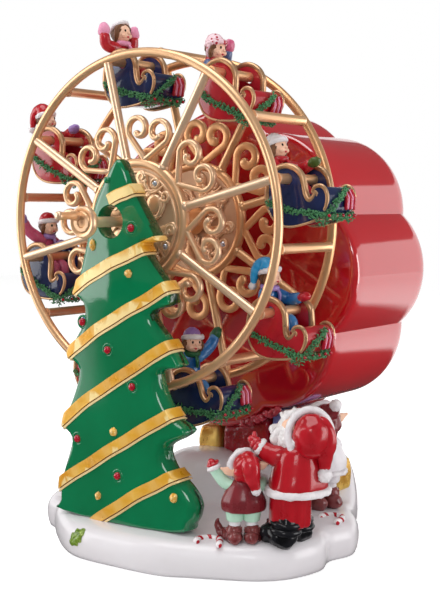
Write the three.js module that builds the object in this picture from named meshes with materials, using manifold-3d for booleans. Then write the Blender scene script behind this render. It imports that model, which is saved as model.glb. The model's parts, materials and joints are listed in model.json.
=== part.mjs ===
// Musical ferris wheel: a hand cranked music box in the form of a Christmas fair ride.
// A gold wheel with eight sleighs turns on a shaft between a tree-shaped post in front
// and a scalloped red drum behind, which holds the music movement.
// Millimetres, +Z up. The wheel turns about Y and its front faces -Y. The origin is on
// the ground below the middle of the wheel.
import * as THREE from 'three';
import { mergeVertices } from 'three/addons/utils/BufferGeometryUtils.js';
import Module from 'manifold-3d';

const wasm = await Module();
wasm.setup();

// Clearances
const gap = 0.3; // between pieces that touch
const runningGap = 0.35; // between a hole and the shaft or rod that turns in it
const overrun = 3; // how far a cutter runs past the faces that it cuts

// Wheel
const wheelRadius = 76; // to the centreline of the rim tubes
const rimSpacing = 44; // between the centre planes of the two rims
const rimTube = 4.8;
const spokeDiameter = 4.2;
const rodDiameter = 4.4;
const sectors = 8;
const wheelTurn = THREE.MathUtils.degToRad(14.2);
const hubRingRadius = 26.3;
const hubRingTube = 4.6;
const hubDiscThickness = 3.6;
const hubSleeveRadius = 7;
const heartWidth = 26.5;
const heartLobe = 6.1; // radius of the outer turn of a scroll
const heartScrollEnd = 1.9; // radius at the inner end of a scroll
const heartReach = 12.8; // from the point of a heart to the centre of its scrolls
const heartStrip = 2.6;
const heartThickness = 3;

// Shaft and crank
const shaftDiameter = 4.7;
const crankFront = -60.8; // front face of the crank disc
const crankDiscRadius = 7.2;
const crankDiscThickness = 2;
const crankStepRadius = 5.2;
const crankStepThickness = 1.6;
const crankPegDiameter = 4.3;
const crankPegTip = 3.9; // its diameter at the free end
const crankPegLength = 12;
const crankThrow = 3.9; // from the shaft to the peg

// Sleighs, in the frame of the rod that each one hangs from. So that they clear the tie
// rods as they hang, they are shares of the distance from a sleigh's rod to the next one.
const sleighWidth = 23;
const sleighWall = 1.8;
const sleighFloor = 3.4;
const sleighRearShare = 0.455;
const sleighFrontShare = 0.641;
const sleighArchShare = 0.2226;
const sleighDropShare = 0.7419;
const sleighDashShare = 0.29;
const riderHeightShare = 1.28;
const riderSetbackShare = 0.24;

// Tree post
const treeFront = -42.2;
const treeFootThickness = 13.2;
const treeTopThickness = 8;
const treeTopRise = 27.7; // its tip above the axle
const treeReach = 42; // from the middle of the tree to its widest tip
const treeOffset = 4.6; // the middle of the tree lies to the right of the axle
const treeEdge = 1.6; // bevel of its outline
const treeHoleRadius = 7.3;
const treeSink = 1.2; // depth of its foot in the snow
const garlandWidth = 5;
const garlandRise = 0.7;

// Drum
const drumMargin = 3; // the crown of a lobe lies this far outside the wheel's rims
const drumLobeDepth = 6.6; // from the crown of a lobe to the valley
const drumDrop = 24.5; // its centre below the axle
const drumOffset = 2.3;
const drumFront = 36.5;
const drumDepth = 81;
const drumFrontEdge = 3;
const drumBackEdge = 17;
const drumWall = 3.2;
const drumSideWall = 10.4; // from a valley of the outline to the cavity
const coverRadius = 47;
const coverThickness = 3;
const coverLip = 5; // seat of the cover inside the drum's opening

// Music movement
const gearModule = 1.5;
const driveTeeth = 12;
const cylinderTeeth = 18;
const gearThickness = 4;
const gearBacklash = 0.3; // added to the distance between the gears
const movementWidth = 44;
const movementPlate = 3;
const movementLength = 44;
const bearingReach = 8; // from a shaft axis out to the edge of its upright
const cylinderRadius = 7.5;
const cylinderPivot = 1.4;
const combTeeth = 15;
const combTooth = 0.9;
const combToothLength = 11;
const combThickness = 1.6;
const combRoot = 9;
const bushRadius = 5;
const bushFlangeRadius = 8.5;
const bushFlange = 2.4;

// Snow base
const baseHalfWidth = 81.5;
const baseHalfDepth = 83.5;
const baseCentreX = 7;
const baseCentreY = 29.5;
const baseEdgeHeight = 14;
const baseCrown = 2.6; // rise from the edge to the middle
const hillX = -3;
const hillY = 33;
const hillHeight = 20.5; // above the crown
const hillClearance = 16.9; // from the hill's top to the lowest sleigh
const hillRadius = 34;
const terraceX = 18;
const terraceY = 74;
const terraceClearance = 16.4; // from the terrace to the lowest point of the drum
const terraceRadius = 50;

// Presents
const presentSink = 1.5; // depth of the presents in the snow terrace
const pileLeft = -30;
const pileFront = 39.5;
const pileMargin = 24.5; // from the pile to the right edge of the base
const pileDepth = 62;
const presentCorner = 1.6;
const sidePresentHeight = 17;
const ribbonWidth = 3.4;
const ribbonRise = 0.4;

// Figures
const oldManHeight = 57;
const leftElfHeight = 41;
const rightElfHeight = 52;
const figureSink = 0.8;
const elfClearance = 14; // from the presents to the middle of the right elf
const caneClearance = 13.9; // from the middle of the right elf to the cane beside it
const caneTube = 3;
const caneHook = 5;
const caneLeg = 7;

const terraceSteepness = 1.6; // the terrace is a bump of this many times its height, cut flat
const figureFootShare = 0.27; // radius of the place a figure stands in, of its height

const material = (color, roughness, metalness = 0) =>
  new THREE.MeshStandardMaterial({ color, roughness, metalness, flatShading: true });
const gold = material('#c9985c', 0.38, 0.75);
const brass = material('#b08d4a', 0.35, 0.9);
const steel = material('#9a9ea3', 0.35, 0.9);
const treeGreen = material('#0d5a35', 0.16);
const drumRed = material('#a8101c', 0.14);
const snowWhite = material('#eceaec', 0.3);
const sleighBlue = material('#243057', 0.3);
const sleighRed = material('#b3121f', 0.25);
const coatRed = material('#b51225', 0.3);
const tunicRed = material('#71202b', 0.4);
const coatBlue = material('#1c5f9a', 0.35);
const coatPink = material('#c0506f', 0.4);
const presentGold = material('#b98a35', 0.35, 0.4);
const presentRed = material('#8e1020', 0.4);
const presentBlue = material('#5a5f98', 0.35);
const caneWhite = material('#f1ecec', 0.3);

// Sleighs and riders
const rodSpacing = 2 * wheelRadius * Math.sin(Math.PI / (2 * sectors));
const sleighRearReach = rodSpacing * sleighRearShare;
const sleighFrontReach = rodSpacing * sleighFrontShare;
const sleighArchRise = rodSpacing * sleighArchShare;
const sleighDrop = rodSpacing * sleighDropShare;
const sleighDashReach = rodSpacing * sleighDashShare;
const sleighSeatDepth = sleighDrop - sleighFloor;
const riderHeight = rodSpacing * riderHeightShare;
const riderSetback = rodSpacing * riderSetbackShare;

// Heights that follow from the pieces below
const crownHeight = baseEdgeHeight + baseCrown;
const axleHeight = crownHeight + hillHeight + hillClearance + sleighDrop + wheelRadius;
const treeFootHeight = crownHeight - treeSink + gap;
const treeHeight = axleHeight + treeTopRise - treeFootHeight;
const drumRadius = wheelRadius + drumMargin;
const drumValleyRadius = drumRadius - drumLobeDepth;
const drumCavityRadius = drumValleyRadius - drumSideWall;
const drumCentreHeight = axleHeight - drumDrop;
const terraceHeight = drumCentreHeight - drumRadius - terraceClearance - crownHeight;

const pileWidth = baseCentreX + baseHalfWidth - pileMargin - pileLeft;

const halfSpacing = rimSpacing / 2;
const rimTubeRadius = rimTube / 2;
const rodRadius = rodDiameter / 2;
const shaftRadius = shaftDiameter / 2;

// Geometry helpers

function closed(geometry) {
  const bare = geometry.clone();
  bare.deleteAttribute('normal');
  bare.deleteAttribute('uv');
  const merged = mergeVertices(bare);
  const place = merged.attributes.position;
  const corner = [new THREE.Vector3(), new THREE.Vector3(), new THREE.Vector3()];
  const faces = [];
  let volume = 0;
  for (let i = 0; i < merged.index.count; i += 3) {
    const face = [0, 1, 2].map((k) => merged.index.getX(i + k));
    if (new Set(face).size < 3) continue;
    faces.push(face);
    face.forEach((v, k) => corner[k].fromBufferAttribute(place, v));
    volume += corner[0].dot(corner[1].cross(corner[2]));
  }
  const outward = volume < 0 ? faces.map(([a, b, c]) => [a, c, b]) : faces;
  merged.setIndex(outward.flat());
  return merged;
}

function toSolid(geometry) {
  const shell = closed(geometry);
  return new wasm.Manifold(new wasm.Mesh({
    numProp: 3,
    vertProperties: new Float32Array(shell.attributes.position.array),
    triVerts: new Uint32Array(shell.index.array),
  }));
}

function toGeometry(solid) {
  const mesh = solid.getMesh();
  const geometry = new THREE.BufferGeometry();
  const places = [];
  for (let i = 0; i < mesh.vertProperties.length; i += mesh.numProp) {
    places.push(...mesh.vertProperties.slice(i, i + 3));
  }
  geometry.setAttribute('position', new THREE.Float32BufferAttribute(places, 3));
  geometry.setIndex([...mesh.triVerts]);
  return geometry;
}

const joined = (shapes) => shapes.map(toSolid).reduce((sum, next) => sum.add(next));
const cutBy = (solid, shapes) => shapes.map(toSolid).reduce((rest, next) => rest.subtract(next), solid);

function addPiece(parent, name, shape, finish) {
  const geometry = shape.isBufferGeometry ? closed(shape) : toGeometry(shape);
  geometry.computeVertexNormals();
  const mesh = new THREE.Mesh(geometry, finish);
  mesh.name = name;
  parent.add(mesh);
  return mesh;
}

function addGroup(parent, x, y, z) {
  const group = new THREE.Group();
  group.position.set(x, y, z);
  parent.add(group);
  return group;
}

// A point of the wheel's plane, by its angle from +X towards +Z.
function onWheel(angle, radius, y = 0) {
  return new THREE.Vector3(Math.cos(angle) * radius, y, Math.sin(angle) * radius);
}

// A straight round bar between two points, which may taper.
function bar(from, to, radius, sides, endRadius = radius) {
  const along = new THREE.Vector3().subVectors(to, from);
  const geometry = new THREE.CylinderGeometry(endRadius, radius, along.length(), sides);
  const turn = new THREE.Quaternion().setFromUnitVectors(new THREE.Vector3(0, 1, 0), along.normalize());
  geometry.applyQuaternion(turn);
  const middle = new THREE.Vector3().addVectors(from, to).multiplyScalar(0.5);
  return geometry.translate(middle.x, middle.y, middle.z);
}

// A ring or disc about the Y axis from [radius, y] pairs, which starts and ends on the
// axis or closes on itself.
function turned(profile, sides) {
  return new THREE.LatheGeometry(profile.map(([radius, y]) => new THREE.Vector2(radius, y)), sides);
}

// A flat outline in X and Z, given thickness along Y from yFront to yBack.
function slab(shape, yFront, yBack, curveSegments = 6) {
  const depth = yBack - yFront;
  const geometry = new THREE.ExtrudeGeometry(shape, { depth, bevelEnabled: false, curveSegments });
  return geometry.rotateX(Math.PI / 2).translate(0, yBack, 0);
}

function block(x0, x1, y0, y1, z0, z1) {
  const geometry = new THREE.BoxGeometry(x1 - x0, y1 - y0, z1 - z0);
  return geometry.translate((x0 + x1) / 2, (y0 + y1) / 2, (z0 + z1) / 2);
}

// A closed skin over rings that have equal numbers of points, with flat ends.
function loft(rings) {
  const count = rings[0].length;
  const places = rings.flat().flatMap((p) => [p.x, p.y, p.z]);
  const faces = [];
  for (let r = 0; r + 1 < rings.length; r += 1) {
    for (let i = 0; i < count; i += 1) {
      const a = r * count + i;
      const b = r * count + ((i + 1) % count);
      faces.push(a, b, b + count, a, b + count, a + count);
    }
  }
  for (const [ring, flip] of [[0, true], [rings.length - 1, false]]) {
    const centre = new THREE.Vector3();
    rings[ring].forEach((p) => centre.add(p));
    centre.divideScalar(count);
    const hub = places.length / 3;
    places.push(centre.x, centre.y, centre.z);
    for (let i = 0; i < count; i += 1) {
      const a = ring * count + i;
      const b = ring * count + ((i + 1) % count);
      faces.push(...(flip ? [b, a, hub] : [a, b, hub]));
    }
  }
  const geometry = new THREE.BufferGeometry();
  geometry.setAttribute('position', new THREE.Float32BufferAttribute(places, 3));
  geometry.setIndex(faces);
  return geometry;
}

function outline(points) {
  const shape = new THREE.Shape();
  points.forEach(([x, z], i) => (i ? shape.lineTo(x, z) : shape.moveTo(x, z)));
  shape.closePath();
  return shape;
}

// A figure in shares of its height. The trunk is a skin over oval levels, each a height,
// a radius, how much broader it is across, and how far forward it lies. Limbs are tapering
// bars from one point to another, and balls are given by a point and a radius.
function sculpt({ trunk, limbs = [], balls = [], sides = 8, limbSides = 5 }, height) {
  const level = ([z, radius, broad = 1, forward = 0]) => Array.from({ length: sides }, (_, i) => {
    const angle = ((i + 1 / 2) * 2 * Math.PI) / sides;
    const x = forward + radius * Math.cos(angle);
    return new THREE.Vector3(x, radius * broad * Math.sin(angle), z).multiplyScalar(height);
  });
  const place = (share) => new THREE.Vector3(...share).multiplyScalar(height);
  const limb = ([from, to, radius, endRadius]) =>
    bar(place(from), place(to), radius * height, limbSides, endRadius * height);
  const ball = ([at, radius]) => {
    const centre = place(at);
    return new THREE.IcosahedronGeometry(radius * height, 0).translate(centre.x, centre.y, centre.z);
  };
  return joined([loft(trunk.map(level)), ...limbs.map(limb), ...balls.map(ball)]);
}

// The same limb on both sides of a figure
const pair = ([from, to, radius, endRadius]) => [-1, 1].map((side) => [
  [from[0], from[1] * side, from[2]], [to[0], to[1] * side, to[2]], radius, endRadius,
]);

// Wheel

const wheelFaces = { rimSides: 6, rimSteps: 36, ringSteps: 20, rodSides: 8, spokeSides: 6 };
const sectorAngle = (2 * Math.PI) / sectors;

function rim(side) {
  const tube = new THREE.TorusGeometry(wheelRadius, rimTubeRadius, wheelFaces.rimSides, wheelFaces.rimSteps);
  return tube.rotateX(Math.PI / 2).translate(0, side * halfSpacing, 0);
}

// Half of a heart: a strip that leaves the point, swings round the lobe and curls in.
function heartArm() {
  const scrollTurns = [60, 112, 165, 220, 285, 380].map(THREE.MathUtils.degToRad);
  const lobeCentre = heartWidth / 2 - heartLobe - heartStrip / 2;
  const fullTurns = scrollTurns[1];
  const lastTurn = scrollTurns.at(-1);
  const path = [[0, 0]];
  for (const turn of scrollTurns) {
    const curl = Math.max(0, (turn - fullTurns) / (lastTurn - fullTurns));
    const radius = heartLobe + (heartScrollEnd - heartLobe) * curl ** 1.25;
    path.push([heartReach - radius * Math.cos(turn), lobeCentre + radius * Math.sin(turn)]);
  }
  const edges = [[], []];
  path.forEach(([u, v], i) => {
    const before = path[Math.max(0, i - 1)];
    const after = path[Math.min(path.length - 1, i + 1)];
    const length = Math.hypot(after[0] - before[0], after[1] - before[1]);
    const across = [-(after[1] - before[1]) / length, (after[0] - before[0]) / length];
    edges[0].push([u + (across[0] * heartStrip) / 2, v + (across[1] * heartStrip) / 2]);
    edges[1].push([u - (across[0] * heartStrip) / 2, v - (across[1] * heartStrip) / 2]);
  });
  return [...edges[0], ...edges[1].reverse()];
}

// Hub disc, ring, spokes and hearts of one side, cast as one piece. side is -1 in front.
function spider(side) {
  const ringReach = hubRingTube / 2;
  const discFace = hubDiscThickness / 2;
  const bore = shaftRadius + gap;
  const hub = turned([
    [bore, -discFace], [hubRingRadius - ringReach, -discFace], [hubRingRadius, -ringReach],
    [hubRingRadius + ringReach, -discFace], [hubRingRadius + ringReach, discFace],
    [hubRingRadius, ringReach], [hubRingRadius - ringReach, discFace], [bore, discFace],
    [bore, -discFace],
  ], wheelFaces.ringSteps);
  const arm = heartArm();
  const shapes = [hub];
  for (let k = 0; k < sectors; k += 1) {
    const spokeAngle = wheelTurn + k * sectorAngle;
    const spokeStart = onWheel(spokeAngle, hubRingRadius);
    const spokeEnd = onWheel(spokeAngle, wheelRadius - rimTubeRadius - gap);
    shapes.push(bar(spokeStart, spokeEnd, spokeDiameter / 2, wheelFaces.spokeSides));
    for (const half of [1, -1]) {
      const points = arm.map(([u, v]) => [u + hubRingRadius + ringReach, v * half]);
      const strip = slab(outline(points), -heartThickness / 2, heartThickness / 2);
      shapes.push(strip.rotateY(-(spokeAngle + sectorAngle / 2)));
    }
  }
  const flat = shapes.map((shape) => shape.scale(1, side, 1).translate(0, side * halfSpacing, 0));
  return joined(flat);
}

function buildWheel(root) {
  const wheel = addGroup(root, 0, 0, axleHeight);
  addPiece(wheel, 'front_rim', rim(-1), gold);
  addPiece(wheel, 'rear_rim', rim(1), gold);
  addPiece(wheel, 'front_spoke_frame', spider(-1), gold);
  addPiece(wheel, 'rear_spoke_frame', spider(1), gold);
  const sleeveEnd = halfSpacing - hubDiscThickness / 2 - gap;
  const sleeveBore = shaftRadius + gap;
  addPiece(wheel, 'hub_sleeve', turned([
    [sleeveBore, -sleeveEnd], [hubSleeveRadius, -sleeveEnd], [hubSleeveRadius, sleeveEnd],
    [sleeveBore, sleeveEnd], [sleeveBore, -sleeveEnd],
  ], 12), gold);
  const rodEnd = halfSpacing - rimTubeRadius - gap;
  for (let k = 0; k < sectors; k += 1) {
    const seatAngle = wheelTurn + k * sectorAngle;
    const tieAngle = seatAngle + sectorAngle / 2;
    const kinds = [['sleigh_rod', seatAngle], ['tie_rod', tieAngle]];
    for (const [kind, angle] of kinds) {
      const rod = bar(onWheel(angle, wheelRadius, -rodEnd), onWheel(angle, wheelRadius, rodEnd),
        rodRadius, wheelFaces.rodSides);
      addPiece(wheel, `${kind}_${k + 1}`, rod, gold);
    }
  }
  buildCrank(wheel);
  buildDriveGear(wheel);
  return wheel;
}

// The shaft runs from the crank disc through the tree, the wheel and the drum's bush.
function buildCrank(wheel) {
  const discBack = crankFront + crankDiscThickness + crankStepThickness;
  const shaftFront = new THREE.Vector3(0, discBack + gap, 0);
  const shaftBack = new THREE.Vector3(0, gearBack + gap, 0);
  addPiece(wheel, 'wheel_shaft', bar(shaftFront, shaftBack, shaftRadius, 12), gold);
  addPiece(wheel, 'crank_disc', turned([
    [0, discBack], [crankStepRadius, discBack], [crankDiscRadius, discBack - crankStepThickness / 2],
    [crankDiscRadius, crankFront + crankDiscThickness / 2], [crankStepRadius, crankFront], [0, crankFront],
  ], 18), gold);
  const pegAngle = Math.PI - sectorAngle;
  const pegFoot = onWheel(pegAngle, crankThrow, crankFront - gap);
  const pegEnd = onWheel(pegAngle, crankThrow, crankFront - crankPegLength);
  addPiece(wheel, 'crank_peg', bar(pegFoot, pegEnd, crankPegDiameter / 2, 12, crankPegTip / 2), gold);
}

// Sleighs and riders

const hangTilts = [0, 10, 0, 24, 12, 0, -8, 4].map(THREE.MathUtils.degToRad);

// Side view of a sleigh, forward to +X: high arch behind the rod, a curl, then the nose.
// Each share is of the reach or rise on its own side of the rod.
const sleighShares = [
  [-1, -0.45], [-0.98, -0.1], [-0.84, 0.42], [-0.54, 0.9], [-0.1, 1], [0.22, 0.74], [0.38, 0.18],
  [0.43, -0.18], [0.45, -0.4], [0.53, -0.49], [0.6, -0.42], [0.64, -0.3], [0.74, -0.24], [0.88, -0.27],
  [0.98, -0.36], [1, -0.52], [0.96, -0.7], [0.8, -0.85], [0.42, -0.96], [0, -1], [-0.52, -0.93],
  [-0.85, -0.73],
];

function sleighOutline() {
  return sleighShares.map(([x, z]) => [
    x * (x < 0 ? sleighRearReach : sleighFrontReach),
    z * (z < 0 ? sleighDrop : sleighArchRise),
  ]);
}

function sleigh() {
  const half = sleighWidth / 2;
  const body = toSolid(slab(outline(sleighOutline()), -half, half));
  const back = -sleighRearReach + sleighWall;
  const top = sleighArchRise + overrun;
  const floorBack = -sleighSeatDepth + sleighWall;
  const seat = outline([
    [back, top], [back, -sleighSeatDepth / 2], [back + 2 * sleighWall, -sleighSeatDepth],
    [sleighDashReach - sleighWall, -sleighSeatDepth], [sleighDashReach, floorBack], [sleighDashReach, top],
  ]);
  const hole = new THREE.CylinderGeometry(rodRadius + runningGap, rodRadius + runningGap,
    sleighWidth + 2 * overrun, wheelFaces.rodSides);
  return cutBy(body, [slab(seat, sleighWall - half, half - sleighWall), hole]);
}

// Riders: where a hand is, as shares of the rider's height from the seat up
const handShares = {
  resting: [0.11, 0.16, 0.61],
  raised: [0.04, 0.2, 0.88],
  waving: [0.12, 0.21, 0.74],
};
const riders = [
  { left: 'waving', right: 'resting', finish: coatRed },
  { left: 'resting', right: 'waving', finish: coatBlue },
  { left: 'raised', right: 'raised', finish: coatRed },
  { left: 'resting', right: 'waving', finish: snowWhite },
  { left: 'waving', right: 'resting', finish: coatPink },
  { left: 'resting', right: 'resting', finish: coatBlue },
  { left: 'raised', right: 'raised', finish: coatBlue },
  { left: 'waving', right: 'waving', finish: coatBlue },
];

const riderTrunkShares = [
  [0, 0.165, 1, 0.16], [0.16, 0.155, 1, 0.16], [0.24, 0.1, 1.4], [0.46, 0.075, 1.4],
  [0.52, 0.06, 1.1, 0.01], [0.57, 0.1, 1, 0.02], [0.65, 0.125, 1], [0.72, 0.115, 1, -0.01],
  [0.82, 0.06, 1, -0.04], [0.86, 0.045, 1, -0.06],
];

function rider({ left, right }) {
  const limbs = [[-1, left], [1, right]].map(([side, pose]) => {
    const [x, y, z] = handShares[pose];
    return [[0, 0.07 * side, 0.45], [x, y * side, z], 0.042, 0.052];
  });
  return sculpt({ trunk: riderTrunkShares, limbs, sides: 6 }, riderHeight);
}

function buildGondolas(wheel) {
  const floor = -sleighSeatDepth + gap;
  for (let k = 0; k < sectors; k += 1) {
    const place = onWheel(wheelTurn + k * sectorAngle, wheelRadius);
    const gondola = addGroup(wheel, place.x, place.y, place.z);
    gondola.rotation.y = hangTilts[k];
    addPiece(gondola, `sleigh_${k + 1}`, sleigh(), k % 2 ? sleighRed : sleighBlue);
    const seat = addGroup(gondola, -riderSetback, 0, floor);
    const figure = rider(riders[k]).subtract(toSolid(seatTrim()));
    addPiece(seat, `rider_${k + 1}`, figure, riders[k].finish);
  }
}

// What would reach below a rider's seat is cut level with it.
function seatTrim() {
  return block(-riderHeight, riderHeight, -riderHeight, riderHeight, -riderHeight, 0);
}

// Tree post

const treeShares = [
  [-0.87, 0], [-0.93, 0.034], [-0.93, 0.093], [-0.8, 0.178], [-0.76, 0.217], [-0.87, 0.245], [-0.84, 0.285],
  [-0.7, 0.356], [-0.63, 0.414], [-0.76, 0.445], [-0.76, 0.475], [-0.56, 0.551], [-0.55, 0.601],
  [-0.67, 0.628], [-0.63, 0.66], [-0.49, 0.783], [-0.36, 0.885], [-0.12, 0.98], [0, 1], [0.1, 0.97],
  [0.18, 0.925], [0.47, 0.8], [0.46, 0.785], [0.31, 0.768], [0.63, 0.665], [0.68, 0.63], [0.65, 0.612],
  [0.41, 0.585], [0.63, 0.517], [0.76, 0.466], [0.74, 0.447], [0.49, 0.424], [0.65, 0.326], [0.84, 0.29],
  [0.83, 0.267], [0.58, 0.228], [0.69, 0.158], [0.97, 0.1], [1, 0.075], [0.9, 0.035], [0.65, 0],
];
// Left and right ends of the garland bands, and their heights, as shares of the tree
const garlandShares = [
  [-0.45, 0.832, 0.3, 0.878], [-0.75, 0.622, 0.6, 0.772], [-0.85, 0.437, 0.8, 0.644],
  [-0.95, 0.24, 0.85, 0.472], [-1, 0.075, 0.9, 0.275], [-0.6, 0.0, 0.85, 0.112],
];

function treeThickness(z) {
  return treeFootThickness + (treeTopThickness - treeFootThickness) * (z / treeHeight);
}

// Extrudes the tree's outline with bevelled edges and leans its back towards the top.
function treeSlab(grow) {
  const shape = outline(treeShares.map(([x, z]) => [x * treeReach, z * treeHeight]));
  const geometry = new THREE.ExtrudeGeometry(shape, {
    depth: treeEdge,
    bevelEnabled: true,
    bevelSegments: 1,
    bevelSize: treeEdge,
    bevelThickness: treeEdge,
    bevelOffset: grow - treeEdge,
  });
  const midLayer = treeEdge / 2;
  const place = geometry.attributes.position;
  for (let i = 0; i < place.count; i += 1) {
    const z = place.getY(i);
    const layer = place.getZ(i);
    const inner = Math.abs(layer - midLayer) < treeEdge;
    const thickness = treeThickness(z);
    const frontSide = treeFront - grow + (inner ? treeEdge : 0);
    const backSide = treeFront + thickness - (inner ? treeEdge : 0);
    place.setXYZ(i, place.getX(i) + treeOffset, layer < midLayer ? frontSide : backSide, z);
  }
  return geometry;
}

function buildTree(root) {
  const post = addGroup(root, 0, 0, treeFootHeight);
  let tree = toSolid(treeSlab(0));
  const proud = toSolid(treeSlab(garlandRise));
  for (const [x0, z0, x1, z1] of garlandShares) {
    const start = new THREE.Vector3(x0 * treeReach + treeOffset, 0, z0 * treeHeight);
    const end = new THREE.Vector3(x1 * treeReach + treeOffset, 0, z1 * treeHeight);
    const length = start.distanceTo(end) + 2 * overrun;
    const band = new THREE.BoxGeometry(length, 2 * treeFootThickness, garlandWidth);
    band.rotateY(-Math.atan2(end.z - start.z, end.x - start.x));
    band.translate((start.x + end.x) / 2, treeFront + treeEdge, (start.z + end.z) / 2);
    tree = tree.add(proud.intersect(toSolid(band)));
  }
  const holeHeight = axleHeight - treeFootHeight;
  const hole = new THREE.CylinderGeometry(treeHoleRadius, treeHoleRadius, 3 * treeFootThickness, 20);
  tree = cutBy(tree, [
    hole.translate(0, treeFront + treeFootThickness / 2, holeHeight),
    block(-2 * treeReach, 2 * treeReach, 2 * treeFront, 0, -treeFootThickness, 0),
  ]);
  addPiece(post, 'tree_post', tree, treeGreen);
}

// Drum

const drumLobes = 8;
const lobeSteps = 6; // even, so that a step falls in each valley

// Radius of the scalloped outline: eight convex arcs that meet in the valleys.
function drumOutlineRadius(angle, outerRadius, valleyRadius) {
  const lobe = (2 * Math.PI) / drumLobes;
  const within = angle - Math.round(angle / lobe) * lobe;
  const halfChord = valleyRadius * Math.sin(lobe / 2);
  const rise = outerRadius - valleyRadius * Math.cos(lobe / 2);
  const arcRadius = (halfChord ** 2 + rise ** 2) / (2 * rise);
  const arcCentre = outerRadius - arcRadius;
  const offset = arcCentre * Math.sin(within);
  return arcCentre * Math.cos(within) + Math.sqrt(arcRadius ** 2 - offset ** 2);
}

function drumRing(y, inset) {
  const count = drumLobes * lobeSteps;
  return Array.from({ length: count }, (_, i) => {
    const angle = (i * 2 * Math.PI) / count;
    const radius = drumOutlineRadius(angle, drumRadius, drumValleyRadius) - inset;
    return onWheel(angle, radius, y);
  });
}

function buildDrum(root) {
  const drum = addGroup(root, drumOffset, 0, drumCentreHeight);
  const back = drumFront + drumDepth;
  const rings = [drumRing(drumFront, drumFrontEdge), drumRing(drumFront + drumFrontEdge, 0)];
  for (const turn of [0, 40, 75].map(THREE.MathUtils.degToRad)) {
    const y = back - drumBackEdge * (1 - Math.sin(turn));
    rings.push(drumRing(y, drumBackEdge * (1 - Math.cos(turn))));
  }
  const cavityFront = drumFront + drumWall;
  const cavityBack = back - drumWall - coverLip;
  const cavity = turned([
    [0, cavityFront], [drumCavityRadius, cavityFront], [drumCavityRadius, cavityBack - drumBackEdge / 2],
    [drumCavityRadius - drumBackEdge / 2, cavityBack], [coverRadius - coverLip, cavityBack],
    [coverRadius - coverLip, back - coverThickness - gap], [coverRadius, back - coverThickness - gap],
    [coverRadius, back + overrun], [0, back + overrun],
  ], 24);
  const bushHole = new THREE.CylinderGeometry(bushRadius + gap, bushRadius + gap, 4 * drumWall, 16);
  const shell = cutBy(toSolid(loft(rings)), [
    cavity,
    bushHole.translate(-drumOffset, drumFront + drumWall / 2, drumDrop),
  ]);
  addPiece(drum, 'drum_shell', shell, drumRed);

  const coverFace = back - gap;
  const cover = turned([
    [0, back - coverThickness], [coverRadius - gap, back - coverThickness],
    [coverRadius - gap, coverFace - coverThickness / 3], [coverRadius - gap - coverThickness / 3, coverFace],
    [0, coverFace],
  ], 24);
  addPiece(drum, 'drum_back_cover', cover, drumRed);
  return cavityFront;
}

// Music movement

const driveRadius = (gearModule * driveTeeth) / 2;
const cylinderGearRadius = (gearModule * cylinderTeeth) / 2;
const gearDistance = driveRadius + cylinderGearRadius + gearBacklash;
const movementFront = drumFront + drumWall + gap;
const gearFront = movementFront + movementPlate + gap;
const gearBack = gearFront + gearThickness;

// Gear outline with straight-sided teeth; start is the angle of one tooth's middle.
function gearOutline(teeth, pitchRadius, start) {
  const pitch = (2 * Math.PI) / teeth;
  const tip = pitchRadius + gearModule * 0.85;
  const root = pitchRadius - gearModule * 1.2;
  const toothShares = [[root, -0.29], [tip, -0.13], [tip, 0.13], [root, 0.29]];
  const points = [];
  for (let i = 0; i < teeth; i += 1) {
    for (const [radius, share] of toothShares) {
      const angle = start + (i + share) * pitch;
      points.push([Math.cos(angle) * radius, Math.sin(angle) * radius]);
    }
  }
  return outline(points);
}

function buildDriveGear(wheel) {
  const gear = toSolid(slab(gearOutline(driveTeeth, driveRadius, -Math.PI / 2), gearFront, gearBack));
  const bore = new THREE.CylinderGeometry(shaftRadius + gap, shaftRadius + gap, 4 * gearBack, 12);
  addPiece(wheel, 'drive_gear', cutBy(gear, [bore]), brass);
}

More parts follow.
